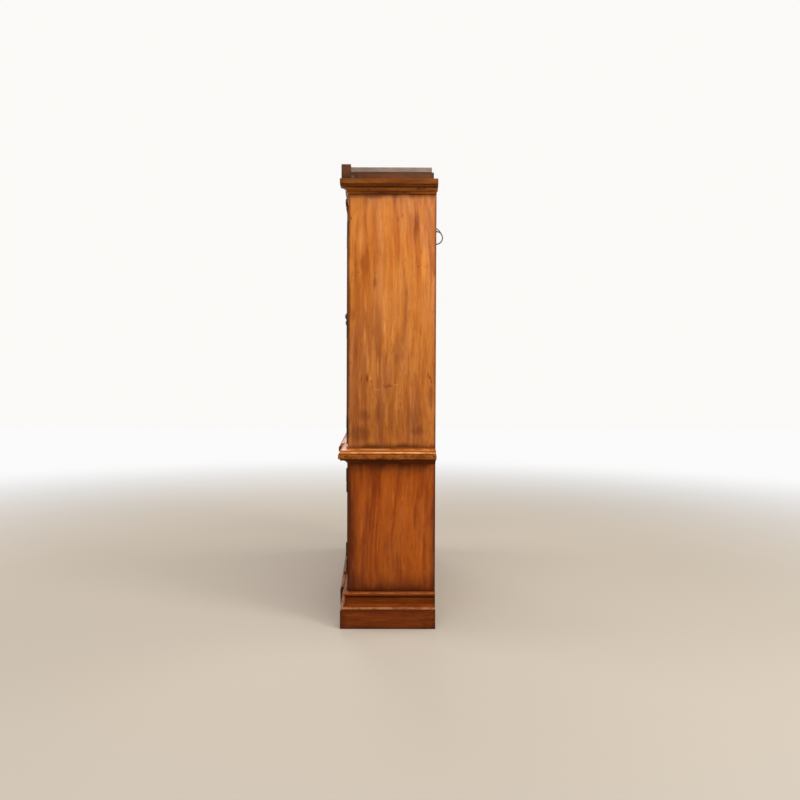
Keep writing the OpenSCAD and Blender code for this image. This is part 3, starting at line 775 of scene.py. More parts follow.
# Streaks, knots and smudges of the upper side; the last two make it lighter over the upper middle and darker
# towards the bottom
UPPER_SIDE_MARKS = tuple(Mark(*sizes) for sizes in (
    (98, 392, 15, 75, -0.75), (90, 340, 9, 60, -0.45), (120, 300, 7, 90, -0.35),
    (22, 404, 7, 14, -0.55), (42, 424, 6, 10, -0.45), (-68, 152, 14, 38, -0.65),
    (-120, 330, 22, 90, 0.45), (30, 190, 18, 90, 0.40), (-30, 60, 16, 120, 0.35),
    (125, 220, 14, 110, 0.45), (-108, 75, 7, 60, 0.55),
    (-110, -61, 7, 66, 0.70), (-98, -166, 7, 66, 0.75), (-88, -232, 8, 34, 0.65),
    (-57, -190, 6, 66, 0.75), (-77, -150, 15, 100, 0.35), (-31, -29, 9, 50, 0.65),
    (-25, -100, 8, 64, 0.45), (3, -57, 7, 60, 0.55), (22, -118, 26, 90, -0.40),
    (43, -61, 14, 66, -0.35), (72, -70, 7, 84, 0.45), (104, -126, 13, 76, 0.30),
    (-100, -232, 7, 28, -0.85), (-86, -246, 6, 12, -0.70), (-122, -232, 5, 16, -0.55),
    (-15, -262, 30, 9, -0.60, 10.0), (16, -256, 16, 5, 0.60), (-58, -276, 30, 5, 0.45),
    (148, -212, 4, 18, -1.00, 6.0), (154, -226, 5, 16, -1.10, 6.0), (159, -242, 4, 12, -0.80),
    (156, -300, 16, 64, -0.55), (-128, -455, 60, 46, -0.60), (-60, -370, 20, 60, -0.40),
    (-112, -380, 34, 40, -0.45), (20, -330, 12, 90, 0.40), (-20, -380, 10, 60, 0.35),
    (90, -390, 24, 70, -0.25), (-55, -330, 5, 36, -0.55), (104, -445, 44, 26, -0.50),
    (-30, 250, 12, 110, -0.35), (60, 60, 14, 120, -0.30), (-150, 200, 12, 160, -0.30),
    (0, 100, 170, 240, 0.24), (0, -400, 180, 90, -0.16),
))

# Streaks and smudges of the lower side; the last six make it darker along the bottom and along the front and
# back edges
LOWER_SIDE_MARKS = tuple(Mark(*sizes) for sizes in (
    (6, 112, 5, 60, 0.80), (45, 114, 5, 8, 0.70), (11, 54, 9, 3, -0.70),
    (-56, -85, 6, 75, 0.45), (-122, -10, 6, 45, 0.45), (122, -85, 8, 75, 0.40),
    (53, 60, 20, 90, 0.30), (-60, 150, 30, 50, -0.35), (50, -168, 12, 12, 0.35),
    (-20, -60, 14, 90, -0.25), (95, 40, 12, 80, -0.30), (-95, 60, 14, 90, -0.30),
    (-140, -256, 90, 100, -0.62), (-30, -262, 100, 90, -0.50), (70, -258, 90, 90, -0.52),
    (150, -256, 70, 90, -0.58), (-176, -20, 60, 460, -1.00), (176, 0, 34, 420, -0.70),
))


class WoodStain(Enum):
    """The woods of the bookcase."""

    UPPER_CASE = WoodFinish(
        "honey stained side", (0.58, 0.195, 0.030), (0.43, 0.113, 0.012), (0.27, 0.051, 0.004),
        (0.60, 0.26, 0.06), marks=UPPER_SIDE_MARKS, figure=0.10, fibre=0.22, glaze=0.85, glaze_reach=0.024,
        specks=0.55, coat=0.08, sheen=0.14,
    )
    LOWER_CASE = WoodFinish(
        "red brown side", (0.460, 0.102, 0.0068), (0.335, 0.0595, 0.0029), (0.212, 0.0315, 0.0015),
        (0.50, 0.18, 0.05), marks=LOWER_SIDE_MARKS, figure=0.10, fibre=0.22, glaze=0.86, glaze_reach=0.034,
        specks=0.45, coat=0.06, sheen=0.12,
    )
    PLINTH = WoodFinish(
        "dark plinth", (0.260, 0.052, 0.0036), (0.190, 0.034, 0.0020), (0.090, 0.014, 0.0010),
        (0.40, 0.13, 0.03), fleck=0.4, glaze=0.5, specks=0.6, grime=0.92, coat=0.05, sheen=0.10,
    )
    # Painted highlights: its strips lighten the slope and the bead, where light falls from above.
    CAP = replace(
        PLINTH, name="dark plinth moulding", body=(0.165, 0.029, 0.0018), pale=(0.225, 0.046, 0.0032),
        bands=((0.074, 0.098, 1.3), (0.128, 0.146, 1.8)), rubbed=((0.078, 0.085, 0.42), (0.138, 0.143, 0.3)),
        worn=(0.62, 0.25, 0.07), coat=0.02, sheen=0.05,
    )
    UPPER_FRONT = WoodFinish(
        "honey stained front", (0.47, 0.160, 0.024), (0.34, 0.095, 0.012), (0.20, 0.040, 0.005),
        (0.58, 0.25, 0.07), sheen=0.18,
    )
    LOWER_FRONT = WoodFinish(
        "red brown front", (0.36, 0.085, 0.008), (0.26, 0.055, 0.005), (0.14, 0.023, 0.002),
        (0.46, 0.18, 0.05), sheen=0.18,
    )
    # Painted shade and highlights: dark lines and golden highlight lines along the ledge, and a bright tone
    # on its crests.
    MOULDING = WoodFinish(
        "rubbed moulding", (0.60, 0.165, 0.014), (0.41, 0.095, 0.006), (0.125, 0.021, 0.0015),
        (0.92, 0.44, 0.12), bands=((0.7145, 0.7175, 0.5), (0.702, 0.706, 0.5)),
        rubbed=((0.7195, 0.7235, 0.45), (0.708, 0.7125, 0.6)), glaze=0.3, glaze_reach=0.02, fibre=0.5,
        fleck=0.8, specks=0.85, grime=0.92, coat=0.05, sheen=0.10,
    )
    # Painted shade: the ledge's hollow gets a darker copy of the moulding wood, as it lies in shade.
    SHADED = WoodFinish(
        "shade darkened hollow", (0.16, 0.034, 0.003), (0.110, 0.020, 0.0016), (0.050, 0.008, 0.0008),
        (0.30, 0.09, 0.02), glaze=0.3, glaze_reach=0.02, specks=0.5, grime=0.92, coat=0.02, sheen=0.06,
    )
    # Painted shade and light: a dark band for the shaded fillets under the fascia, and a lighter band on the
    # downward face below it.
    CORNICE = WoodFinish(
        "dark stained cornice", (0.275, 0.078, 0.007), (0.200, 0.049, 0.0042), (0.095, 0.020, 0.002),
        (0.38, 0.14, 0.03), bands=((1.771, 1.782, 0.45), (1.7585, 1.7705, 1.85)), fleck=0.6, glaze=0.3,
        glaze_reach=0.02, specks=0.5, grime=0.95, coat=0.03, sheen=0.08,
    )
    CROWN = WoodFinish(
        "dull brown crown", (0.145, 0.046, 0.010), (0.100, 0.029, 0.006), (0.055, 0.015, 0.003),
        (0.24, 0.10, 0.04), gloss=0.5, coat=0.02, sheen=0.12,
    )
    # Its grey is a painted sheen on the ends and dusting on top.
    ATTIC = WoodFinish(
        "dusty sheened brown top", (0.205, 0.100, 0.050), (0.150, 0.070, 0.033), (0.085, 0.036, 0.015),
        (0.28, 0.15, 0.08), haze=0.2, gloss=0.5, coat=0.03, sheen=0.16, dust=0.70,
    )
    # Painted: a darker band on the fascia and a highlight line under it.
    ATTIC_CORNICE = replace(
        ATTIC, name="dusty sheened brown top moulding", bands=((1.927, 1.960, 0.6), (1.917, 1.927, 1.4)),
    )
    INSIDE = WoodFinish(
        "thin lacquered inside", (0.48, 0.215, 0.075), (0.37, 0.145, 0.045), (0.22, 0.070, 0.018),
        (0.5, 0.25, 0.1), haze=0.15, glaze=0.2, gloss=0.45, coat=0.05, sheen=0.2, specks=0.1,
    )
    BACK = WoodFinish(
        "dull back panel", (0.40, 0.235, 0.110), (0.33, 0.180, 0.078), (0.22, 0.105, 0.040),
        (0.40, 0.25, 0.12), ring=0.020, figure=0.40, haze=0.0, glaze=0.1, gloss=0.62, coat=0.0, sheen=0.14,
        specks=0.05,
    )


class Trim(Enum):
    """The finishes of all that isn't wood or glass."""

    RUBBER = PlainFinish("olive rubber", (0.050, 0.046, 0.026), (0.075, 0.068, 0.040), 0.0, 0.45, 0.65)
    PLASTIC = PlainFinish("dark plastic", (0.020, 0.019, 0.016), (0.032, 0.030, 0.026), 0.0, 0.4, 0.6)
    BRASS = PlainFinish(
        "dark brass", (0.045, 0.040, 0.022), (0.085, 0.066, 0.032), 0.85, 0.38, 0.62, worn=(0.22, 0.16, 0.07),
    )
    ZINC = PlainFinish("zinc plate", (0.42, 0.42, 0.41), (0.52, 0.52, 0.50), 1.0, 0.3, 0.5)
    BRONZE = PlainFinish(
        "dark bronze", (0.010, 0.007, 0.004), (0.020, 0.013, 0.007), 0.2, 0.42, 0.60,
        worn=(0.075, 0.045, 0.018),
    )
    ENAMEL = PlainFinish("cream enamel", (0.55, 0.50, 0.40), (0.60, 0.55, 0.45), 0.0, 0.3, 0.45)
    OPAL = PlainFinish(
        "opal lens", (0.78, 0.76, 0.70), (0.82, 0.80, 0.75), 0.0, 0.2, 0.3, grain=12.0, bump=0.02,
    )


# Meshes


def linked(name: str, data: bpy.types.ID) -> Piece:
    """Makes an object of a mesh, curve, light or camera and links it to the scene.

    Args:
        name: Name of the object.
        data: What it shows.

    Returns:
        The object.
    """
    made = bpy.data.objects.new(name, data)
    bpy.context.scene.collection.objects.link(made)
    return made


def place_piece(piece: Piece, body: str, slot: str, *nodes: str) -> Piece:
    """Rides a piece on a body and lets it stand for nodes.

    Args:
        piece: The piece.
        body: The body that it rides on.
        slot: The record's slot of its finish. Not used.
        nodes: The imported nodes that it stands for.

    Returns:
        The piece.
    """
    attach(piece, body)
    if nodes:
        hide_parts(*nodes)
    log.info("%s rides on %s", piece.name, body)
    return piece


def slot_of(node: str) -> str:
    """Returns the record's material slot of a node."""
    return next(entry["material_slot"] for entry in frame["record"]["subparts"] if entry["node"] == node)


def mesh_object(name: str, points: Sequence, faces: Sequence, material: Material) -> Piece:
    """Makes a smooth object from points and faces.

    Args:
        name: Name of the object.
        points: Its points.
        faces: The points' numbers round each face, seen from outside.
        material: Its finish.

    Returns:
        The object.
    """
    mesh = bpy.data.meshes.new(name)
    mesh.from_pydata([tuple(point) for point in points], [], faces)
    mesh.validate()
    mesh.shade_smooth()
    mesh.set_sharp_from_angle(angle=SHADED_AS_ONE)
    mesh.materials.append(material)
    return linked(name, mesh)


def ring(height: float, radius: float, worn: float = 0.0) -> Ring:
    """Returns a round ring of a turned body."""
    return height, radius, radius, worn


def turned(
    name: str, foot: Vector, axis: Vector, rings: Sequence[Ring], sides: int, material: Material,
    power: float = 2.0,
) -> Piece:
    """Makes a closed body of rings round an axis.

    Args:
        name: Name of the piece.
        foot: Where the axis starts.
        axis: The way that it runs, at right angles to X.
        rings: Height over the foot, half width along X and half width at right angles to it, in mm, and
            how far the finish shows its lighter tone.
        sides: Points in a ring.
        material: Its finish.
        power: Squareness of the rings that aren't round: 2 is an ellipse.

    Returns:
        The piece, with the attribute wear.
    """
    across = Vector((1.0, 0.0, 0.0))
    around = axis.cross(across)
    points = []
    for height, wide, thick, _ in rings:
        bulge = 1.0 if wide == thick else 2.0 / power
        for side in range(sides):
            cosine, sine = math.cos(math.tau * side / sides), math.sin(math.tau * side / sides)
            out = wide * math.copysign(abs(cosine) ** bulge, cosine) * across
            out += thick * math.copysign(abs(sine) ** bulge, sine) * around
            points.append(foot + MM * (height * axis + out))
    faces = [tuple(reversed(range(sides)))]
    last = (len(rings) - 1) * sides
    for base in range(0, last, sides):
        for side in range(sides):
            after = (side + 1) % sides
            faces.append((base + side, base + after, base + sides + after, base + sides + side))
    faces.append(tuple(range(last, last + sides)))
    piece = mesh_object(name, points, faces, material)
    wear_and_highlight = piece.data.attributes.new("wear_and_highlight", "FLOAT", "POINT")
    wear_and_highlight.data.foreach_set("value", [worn for *_, worn in rings for _ in range(sides)])
    return piece


def loose_parts(work: Solid) -> list[list]:
    """Sorts the vertices of a mesh by the solid that they belong to.

    Args:
        work: The mesh.

    Returns:
        The vertices of each solid, in the order of the solids' first vertices.
    """
    left = set(work.verts)
    parts = []
    for start in list(work.verts):
        if start not in left:
            continue
        left.discard(start)
        group = [start]
        for vert in group:
            for other in [edge.other_vert(vert) for edge in vert.link_edges]:
                if other in left:
                    left.discard(other)
                    group.append(other)
        parts.append(group)
    return parts


@dataclass
class EasedNode:
    """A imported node's own shape with eased edges, and the grain of each board written on it.

    Attributes:
        node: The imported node.
        ease: Width of the rounding on an edge.
        grain: How the grain is chosen.
        shown: Heights between which the boards show, where mouldings cover the rest.
        segments: Faces across a rounding.
        parts: Number of the material of each solid, where the node has more than one.
        topped: Whether what faces up gets the second material.
        least: Length of an edge that is too short to ease and is let go, because it would hold back the rest.
        sharp: Least angle of an edge that is eased, in degrees.
        smooth: Greatest angle between two faces that are shaded as one.
        flat: Angle up to which two faces are joined.
        weld: Space within which two points are one.
    """

    node: str
    ease: float = 1.0 * MM
    grain: Grain = Grain.LONGEST
    shown: tuple[float, float] | None = None
    segments: int = 2
    parts: tuple[int, ...] = ()
    topped: bool = False
    least: float = 0.06 * MM
    sharp: float = 28.0
    smooth: float = 32.0
    flat: float = 0.4
    weld: float = 0.002 * MM

    def build(self, *materials: Material) -> Piece:
        """Makes the piece, in place of its node and on the same body.

        Args:
            materials: Its finishes.

        Returns:
            The piece.
        """
        source = frame["nodes"][self.node]
        work = bmesh.new()
        work.from_mesh(source.data)
        bmesh.ops.remove_doubles(work, verts=work.verts, dist=self.weld)
        flat = math.radians(self.flat)
        bmesh.ops.dissolve_limit(work, angle_limit=flat, verts=work.verts, edges=work.edges)
        short = [edge for edge in work.edges if edge.calc_length() < self.least]
        if short:
            bmesh.ops.collapse(work, edges=short, uvs=False)
        crest = self.ease_edges(work)
        mesh = bpy.data.meshes.new(self.node + "_finished")
        self.write_grain(work, crest)
        work.to_mesh(mesh)
        work.free()
        mesh.shade_smooth()
        mesh.set_sharp_from_angle(angle=math.radians(self.smooth))
        for material in materials:
            mesh.materials.append(material)
        return place_piece(linked(mesh.name, mesh), source["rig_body"], slot_of(self.node), self.node)

    def ease_edges(self, work: Solid) -> set:
        """Rounds the sharp edges.

        Args:
            work: The boards.

        Returns:
            The vertices that lie on the crest of a rounding.
        """
        bend = math.radians(self.sharp)
        closed = (edge for edge in work.edges if len(edge.link_faces) == 2)
        edges = [edge for edge in closed if edge.calc_face_angle(0.0) > bend]
        if not edges:
            return set()
        made = bmesh.ops.bevel(
            work, geom=edges, offset=self.ease, offset_type="OFFSET", segments=self.segments,
            profile=0.5, affect="EDGES", clamp_overlap=True,
        )
        strip = set(made["faces"])
        return {vert for vert in made["verts"] if all(face in strip for face in vert.link_faces)}

    def write_grain(self, work: Solid, crest: set) -> None:
        """Writes the attributes that the wood reads, and which material each face has.

        Args:
            work: The eased boards.
            crest: Vertices that get the lighter tone: the finish bare, and a painted highlight.
        """
        layers = work.verts.layers
        board, reach = (layers.float_vector.new(name) for name in ("board", "reach"))
        seed, wear_and_highlight = (layers.float.new(name) for name in ("seed", "wear_and_highlight"))
        start = sum(map(ord, self.node)) * NODE_STEP
        for index, group in enumerate(loose_parts(work)):
            low, high = (
                Vector(end(vert.co[axis] for vert in group) for axis in range(3)) for end in (min, max)
            )
            if self.shown:
                low.z, high.z = self.shown
            middle, half = (low + high) / 2, (high - low) / 2
            order = self.order(half)
            for vert in group:
                away = vert.co - middle
                vert[board] = Vector(away[axis] for axis in order)
                vert[reach] = Vector(half[axis] for axis in order)
                vert[seed] = (index * GOLDEN + start) % 1.0 + LEAST_SEED
                # A crest gets the lighter tone: bare wood, and a painted highlight where light catches the
                # edge.
                vert[wear_and_highlight] = float(vert in crest)
                if self.parts:
                    for face in vert.link_faces:
                        face.material_index = self.parts[index]
        if self.topped:
            work.normal_update()
            for face in work.faces:
                face.material_index = int(face.normal.z > FACING_UP)

    def order(self, half: Vector) -> tuple[int, int, int]:
        """Finds how a board lies.

        Args:
            half: Its half sizes.

        Returns:
            The axes across it, through it and along its grain.
        """
        along = 2 if self.grain is Grain.UPRIGHT else max(range(3), key=lambda axis: half[axis])
        through, across = sorted((axis for axis in range(3) if axis != along), key=lambda axis: half[axis])
        return across, through, along


# Steps that spread the seeds of the boards and of the nodes, the least seed, and what counts as facing up
GOLDEN = 0.6180339
NODE_STEP = 0.137
LEAST_SEED = 0.05
FACING_UP = 0.7


# Camera, light and floor


@dataclass(frozen=True)
class PhotoCamera:
    """A camera that looks at the right-hand end of the bookcase, as the photograph does.

    Attributes:
        turn: Its yaw, pitch and roll, in degrees.
        reach: Nearest and farthest distance that it sees.
    """

    place: Point = (3.852, -0.0516, 1.0098)
    turn: Point = (-0.26, -1.0, 0.19)
    lens: float = 35.01
    shift: tuple[float, float] = (0.0289, -0.0106)
    reach: tuple[float, float] = (0.05, 60.0)

    def build(self) -> None:
        """Makes the camera and sets it as the scene's."""
        yaw, pitch, roll = (math.radians(angle) for angle in self.turn)
        ahead = Vector((-math.cos(yaw) * math.cos(pitch), -math.sin(yaw) * math.cos(pitch), math.sin(pitch)))
        level = ahead.cross(UP).normalized()
        rise = level.cross(ahead)
        right = math.cos(roll) * level + math.sin(roll) * rise
        up = math.cos(roll) * rise - math.sin(roll) * level
        data = bpy.data.cameras.new("camera")
        data.sensor_width = 36.0
        data.lens = self.lens
        data.shift_x, data.shift_y = self.shift
        data.clip_start, data.clip_end = self.reach
        camera = linked("camera", data)
        turn = Matrix((right, up, -ahead)).transposed().to_4x4()
        camera.matrix_world = Matrix.Translation(self.place) @ turn
        bpy.context.scene.camera = camera


@dataclass(frozen=True)
class Lamp:
    """A square soft light that points at a place."""

    name: str
    place: Point
    target: Point
    size: float
    power: float

    def build(self) -> None:
        """Makes the light."""
        data = bpy.data.lights.new(self.name, "AREA")
        data.shape = "SQUARE"
        data.size = self.size
        data.energy = self.power
        aim = (Vector(self.target) - Vector(self.place)).to_track_quat("-Z", "Y")
        linked(self.name, data).matrix_world = Matrix.Translation(self.place) @ aim.to_matrix().to_4x4()


@dataclass(frozen=True)
class Studio:
    """A pale floor that runs out into a white surround, and soft lights from above.

    Attributes:
        floor_near: Distance from the bookcase where the floor starts to turn white.
        floor_far: Distance where it is white.
        surround: Brightness of the surround as the camera sees it.
        fill: Brightness of the surround as a light.
    """

    floor_half: float = 12.0
    floor_near: float = 1.5
    floor_far: float = 6.0
    floor_tone: Colour = (0.41, 0.355, 0.29)
    surround: float = 0.96
    fill: float = 0.32
    lamps: tuple[Lamp, ...] = (
        Lamp("ceiling light", (2.2, 0.3, 4.5), (0.4, 0.0, 0.9), 3.0, 150.0),
        Lamp("key light", (2.7, 3.0, 3.4), (0.6, 0.0, 1.3), 1.4, 90.0),
        Lamp("front light", (-0.4, -4.2, 3.2), (0.0, 0.0, 1.0), 2.6, 120.0),
        Lamp("back light", (-0.8, 4.0, 3.2), (0.0, 0.0, 1.0), 2.6, 90.0),
        Lamp("far light", (-4.0, -0.6, 3.2), (-0.6, 0.0, 1.0), 2.4, 90.0),
    )

    def build(self) -> None:
        """Makes the floor, the surround and the lights."""
        self.floor()
        self.world()
        for lamp in self.lamps:
            lamp.build()

    def floor(self) -> None:
        """Makes the floor, plain and pale, turning white away from the bookcase."""
        material, graph, shader = new_material(
            "pale floor", Base_Color=self.floor_tone, Roughness=0.75, Specular_IOR_Level=0.2,
        )
        far = graph.place().apply("LENGTH").fade(self.floor_near, self.floor_far)
        glow = graph.add("ShaderNodeEmission", {"Color": (1.0, 1.0, 1.0), "Strength": self.surround})
        mix = graph.add("ShaderNodeMixShader", {0: far, 1: shader.outputs[0], 2: glow})
        output = next(node for node in material.node_tree.nodes if node.type == "OUTPUT_MATERIAL")
        graph.feed(output, {"Surface": mix})
        half = self.floor_half
        corners = [(-half, -half, 0.0), (half, -half, 0.0), (half, half, 0.0), (-half, half, 0.0)]
        mesh_object("floor", corners, [(0, 1, 2, 3)], material)

    def world(self) -> None:
        """Makes a white surround that lights the bookcase softly."""
        world = bpy.data.worlds.new("surround")
        world.use_nodes = True
        world.node_tree.nodes.clear()
        graph = Graph(world.node_tree)
        seen = graph.add("ShaderNodeLightPath", output="Is Camera Ray")
        strength = seen * (self.surround - self.fill) + self.fill
        sky = graph.add("ShaderNodeBackground", {"Color": (1.0, 0.99, 0.97), "Strength": strength})
        graph.node("ShaderNodeOutputWorld", {"Surface": sky})
        bpy.context.scene.world = world
        bpy.context.scene.view_settings.view_transform = "Standard"


# Cord


@dataclass
class LampCord:
    """The light's mains cord: a lead out of the back, a coil beside it, a tie and a plug.

    Attributes:
        pitch: Space from one turn to the next.
        start: Angle over the level at which the coil starts, in degrees, as end is where it ends.
        lean: How far the coil goes back and up for each metre along X.
        steps: Points in a turn.
        lead: The route from the sleeve to the coil, back and up, in mm, as tail is from there to the plug.
        neck: Rings of the plug's neck before its ribs: depth and radius, in mm.
        rib: Rings of a rib: depth and how much less than the widest its radius is.
        rib_step: Space from one rib to the next.
        rib_radius: Radius of the first rib, and how much more each further one has.
        body: Rings of the plug's body: depth and its two half widths.
        blade_place: Place of a blade's middle from the end of the cord, aside and up.
    """

    exit: Point = (0.0, 0.2205, 1.755)
    radius: float = 2.75 * MM
    length: float = 1.776
    coil_radius: float = 31.0 * MM
    pitch: float = 6.2 * MM
    start: float = 30.0
    end: float = -75.0
    full_turns: int = 8
    lean: tuple[float, float] = (-0.083, -0.186)
    steps: int = 40
    lead: tuple = (
        (0, 0), (9, 0), (18.6, -0.8), (27.8, -3.3), (36.5, -7.4), (44.4, -12.9),
        (51.1, -19.6), (56.6, -27.5), (59.6, -32.7),
    )
    tail: tuple = (
        (0, 0), (-6.8, -2.8), (-12.6, -7.3), (-17, -13.1), (-19.8, -19.8), (-20.8, -27),
        (-20.8, -41), (-20.8, -56), (-20.8, -71),
    )
    neck: tuple = ((0.0, 3.4), (1.0, 4.3))
    ribs: int = 4
    rib: tuple = ((2.0, 0.0), (3.2, 0.0), (3.7, 1.0), (4.5, 0.9))
    rib_step: float = 3.0
    rib_radius: tuple[float, float] = (4.6, 0.55)
    body: tuple = (
        (14.5, 9.0, 8.0), (16.0, 12.6, 9.8), (19.0, 14.4, 10.6), (25.0, 13.2, 9.6), (31.0, 13.6, 9.9),
        (36.0, 14.6, 10.7), (38.6, 14.7, 10.8), (39.7, 13.9, 10.0), (40.0, 12.6, 8.8),
    )
    blade: Point = (1.4, 6.2, 15.8)
    blade_place: tuple[float, float] = (6.35, -47.7)
    blade_ease: float = 0.35 * MM

    def onward(self, angle: float) -> Vector:
        """Returns the way that the coil runs at an angle, in degrees."""
        return Vector((0.0, math.sin(math.radians(angle)), -math.cos(math.radians(angle))))

    def outward(self, angle: float) -> Vector:
        """Returns the way out from the coil's middle at an angle, in degrees."""
        return Vector((0.0, math.cos(math.radians(angle)), math.sin(math.radians(angle))))

    def bend(self, start: Vector, places: Sequence) -> list[Vector]:
        """Returns a route from a start, given as places back and up from it, in mm."""
        return [start + MM * (back * BACK + up * UP) for back, up in places]

    def route(self) -> list[Vector]:
        """Lays the whole cord: the lead, the coil with its turns side by side, and the tail.

        Returns:
            The points that it follows.
        """
        lead = self.bend(Vector(self.exit), self.lead)
        straight = 2.0 * self.radius
        foot = lead[-1] + straight * self.onward(self.start)
        centre = foot - self.coil_radius * self.outward(self.start)
        turns = self.full_turns + (self.start - self.end) / 360.0
        count = round(turns * self.steps)
        coil = []
        for step in range(count + 1):
            turned_by = turns * step / count
            out = self.outward(self.start - 360.0 * turned_by)
            along = self.pitch * turned_by * Vector((1.0, *self.lean))
            coil.append(centre + self.coil_radius * out + along)
        return lead + coil + self.bend(coil[-1] + straight * self.onward(self.end), self.tail)

    def build(self, sheath: Material, fittings: Material, metal: Material) -> None:
        """Makes the cord and what is on it.

        Args:
            sheath: Finish of the cord.
            fittings: Finish of the plug and the tie.
            metal: Finish of the blades.
        """
        route = self.route()
        curve = bpy.data.curves.new("lamp_cord", "CURVE")
        curve.dimensions = "3D"
        curve.bevel_depth = self.radius
        curve.bevel_resolution = 3
        curve.use_fill_caps = True
        spline = curve.splines.new("POLY")
        spline.points.add(len(route) - 1)
        for point, place in zip(spline.points, route):
            point.co = (*place, 1.0)
        curve.materials.append(sheath)
        cord = place_piece(linked("lamp_cord", curve), CABINET, "cord_sheath", "cord_lead", "cord_coil")
        plug = self.plug(route[-1], fittings)
        blades = self.blades(route[-1], metal)
        tie = EasedNode("cord_tie", ease=0.8 * MM).build(fittings)
        2.0 * self.radius

    def plug(self, top: Vector, material: Material) -> Piece:
        """Makes the moulded plug under the end of the cord: a ribbed neck and a waisted body.

        Args:
            top: The end of the cord.
            material: Its finish.

        Returns:
            The plug.
        """
        rings = [ring(depth, radius) for depth, radius in self.neck]
        first, more = self.rib_radius
        for rib in range(self.ribs):
            wide = first + rib * more
            rings += [ring(depth + rib * self.rib_step, wide - less) for depth, less in self.rib]
        rings += [(*sizes, 0.0) for sizes in self.body]
        piece = turned("plug_body", top, -UP, rings, 40, material, power=3.2)
        return place_piece(piece, CABINET, "cord_fittings", "plug")

    def blades(self, top: Vector, material: Material) -> Piece:
        """Makes the two blades of the plug.

        Args:
            top: The end of the cord.
            material: Their finish.

        Returns:
            The blades.
        """
        work = bmesh.new()
        aside, down = self.blade_place
        for side in (-aside, aside):
            middle = Matrix.Translation(top + MM * Vector((side, 0.0, down)))
            bmesh.ops.create_cube(work, size=MM, matrix=middle @ Matrix.Diagonal((*self.blade, 1.0)))
        bmesh.ops.bevel(
            work, geom=work.edges[:], offset=self.blade_ease, segments=2, affect="EDGES", profile=0.5,
        )
        mesh = bpy.data.meshes.new("plug_blades")
        work.to_mesh(mesh)
        work.free()
        mesh.materials.append(material)
        return place_piece(linked("plug_blades", mesh), CABINET, "catch_metal")


# Hardware


@dataclass
class Knob:
    """A turned knob on the lock stile of a glazed door, with the height, radius and wear of each ring."""

    door: int
    sides: int = 56
    rings: tuple[Point, ...] = (
        (0.0, 9.6, 0.0), (0.7, 10.0, 0.4), (1.6, 10.0, 0.4), (2.3, 9.3, 0.1), (2.5, 8.3, 0.0),
        (3.2, 8.0, 0.2), (3.8, 7.2, 0.0), (4.8, 6.3, 0.0), (6.0, 6.1, 0.0), (7.0, 6.6, 0.0),
        (7.7, 8.0, 0.0), (8.1, 10.5, 0.0),
        (8.3, 13.0, 0.1), (8.6, 14.5, 0.5), (9.3, 15.0, 1.0), (10.0, 15.0, 1.0), (10.7, 14.5, 0.9),
        (11.5, 13.6, 0.3), (11.9, 13.0, 0.0), (12.0, 12.5, 0.0), (12.6, 12.2, 0.6), (13.5, 11.2, 0.3),
        (14.6, 9.3, 0.1), (15.6, 6.9, 0.2), (16.4, 4.4, 0.5), (16.9, 1.6, 0.7), (17.0, 0.3, 0.7),
    )

    def build(self, material: Material) -> None:
        """Makes the knob.

        Args:
            material: Its finish.
        """
        node = f"upper_knob_{self.door}"
        low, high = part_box(node)
        foot = Vector(((low.x + high.x) / 2, high.y, (low.z + high.z) / 2))
        rings = [ring(*sizes) for sizes in self.rings]
        piece = turned(f"turned_knob_{self.door}", foot, -BACK, rings, self.sides, material)
        place_piece(piece, f"upper_door_{self.door}", slot_of(node), node)


@dataclass
class CordSleeve:
    """The gland through the back panel, with its flange inside and its ribbed sleeve outside.

    Attributes:
        flange: Thickness of the flange, in mm, as panel is that of the back panel.
        rib: Rings of a rib: height and how much less than the sleeve's its radius is.
        wide: Radius at the panel, as narrow is that at the end.
        reach: Length outside the panel.
    """

    flange: float = 3.0
    panel: float = 6.0
    bore: float = 6.9
    ribs: int = 7
    rib_step: float = 2.6
    rib: tuple = ((0.0, 1.0), (0.8, 1.1), (1.0, 0.0), (2.2, 0.2))
    wide: float = 8.0
    narrow: float = 4.25
    reach: float = 20.0

    def build(self, material: Material) -> None:
        """Makes the sleeve.

        Args:
            material: Its finish.
        """
        low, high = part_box("cord_grommet")
        outside = self.flange + self.panel
        end = outside + self.reach
        rings = [ring(0.0, 9.4), ring(0.5, 10.0), ring(self.flange, 10.0), ring(self.flange, self.bore)]
        rings += [ring(outside, self.bore), ring(outside, self.wide), ring(outside + 0.9, self.wide)]
        for rib in range(self.ribs):
            start = 1.2 + self.rib_step * rib
            full = self.wide - (self.wide - self.narrow) * start / self.reach
            rings += [ring(outside + start + step, full - less) for step, less in self.rib]
        rings += [ring(end - 0.3, self.narrow), ring(end, self.narrow - 0.5)]
        foot = Vector(((low.x + high.x) / 2, low.y, (low.z + high.z) / 2))
        piece = turned("cord_sleeve", foot, BACK, rings, 40, material)
        place_piece(piece, CABINET, slot_of("cord_grommet"), "cord_grommet")


@dataclass(frozen=True)
class Head:
    """Where a screw's head sits, which way it faces and its radius."""

    place: Point
    aim: Point
    radius: float


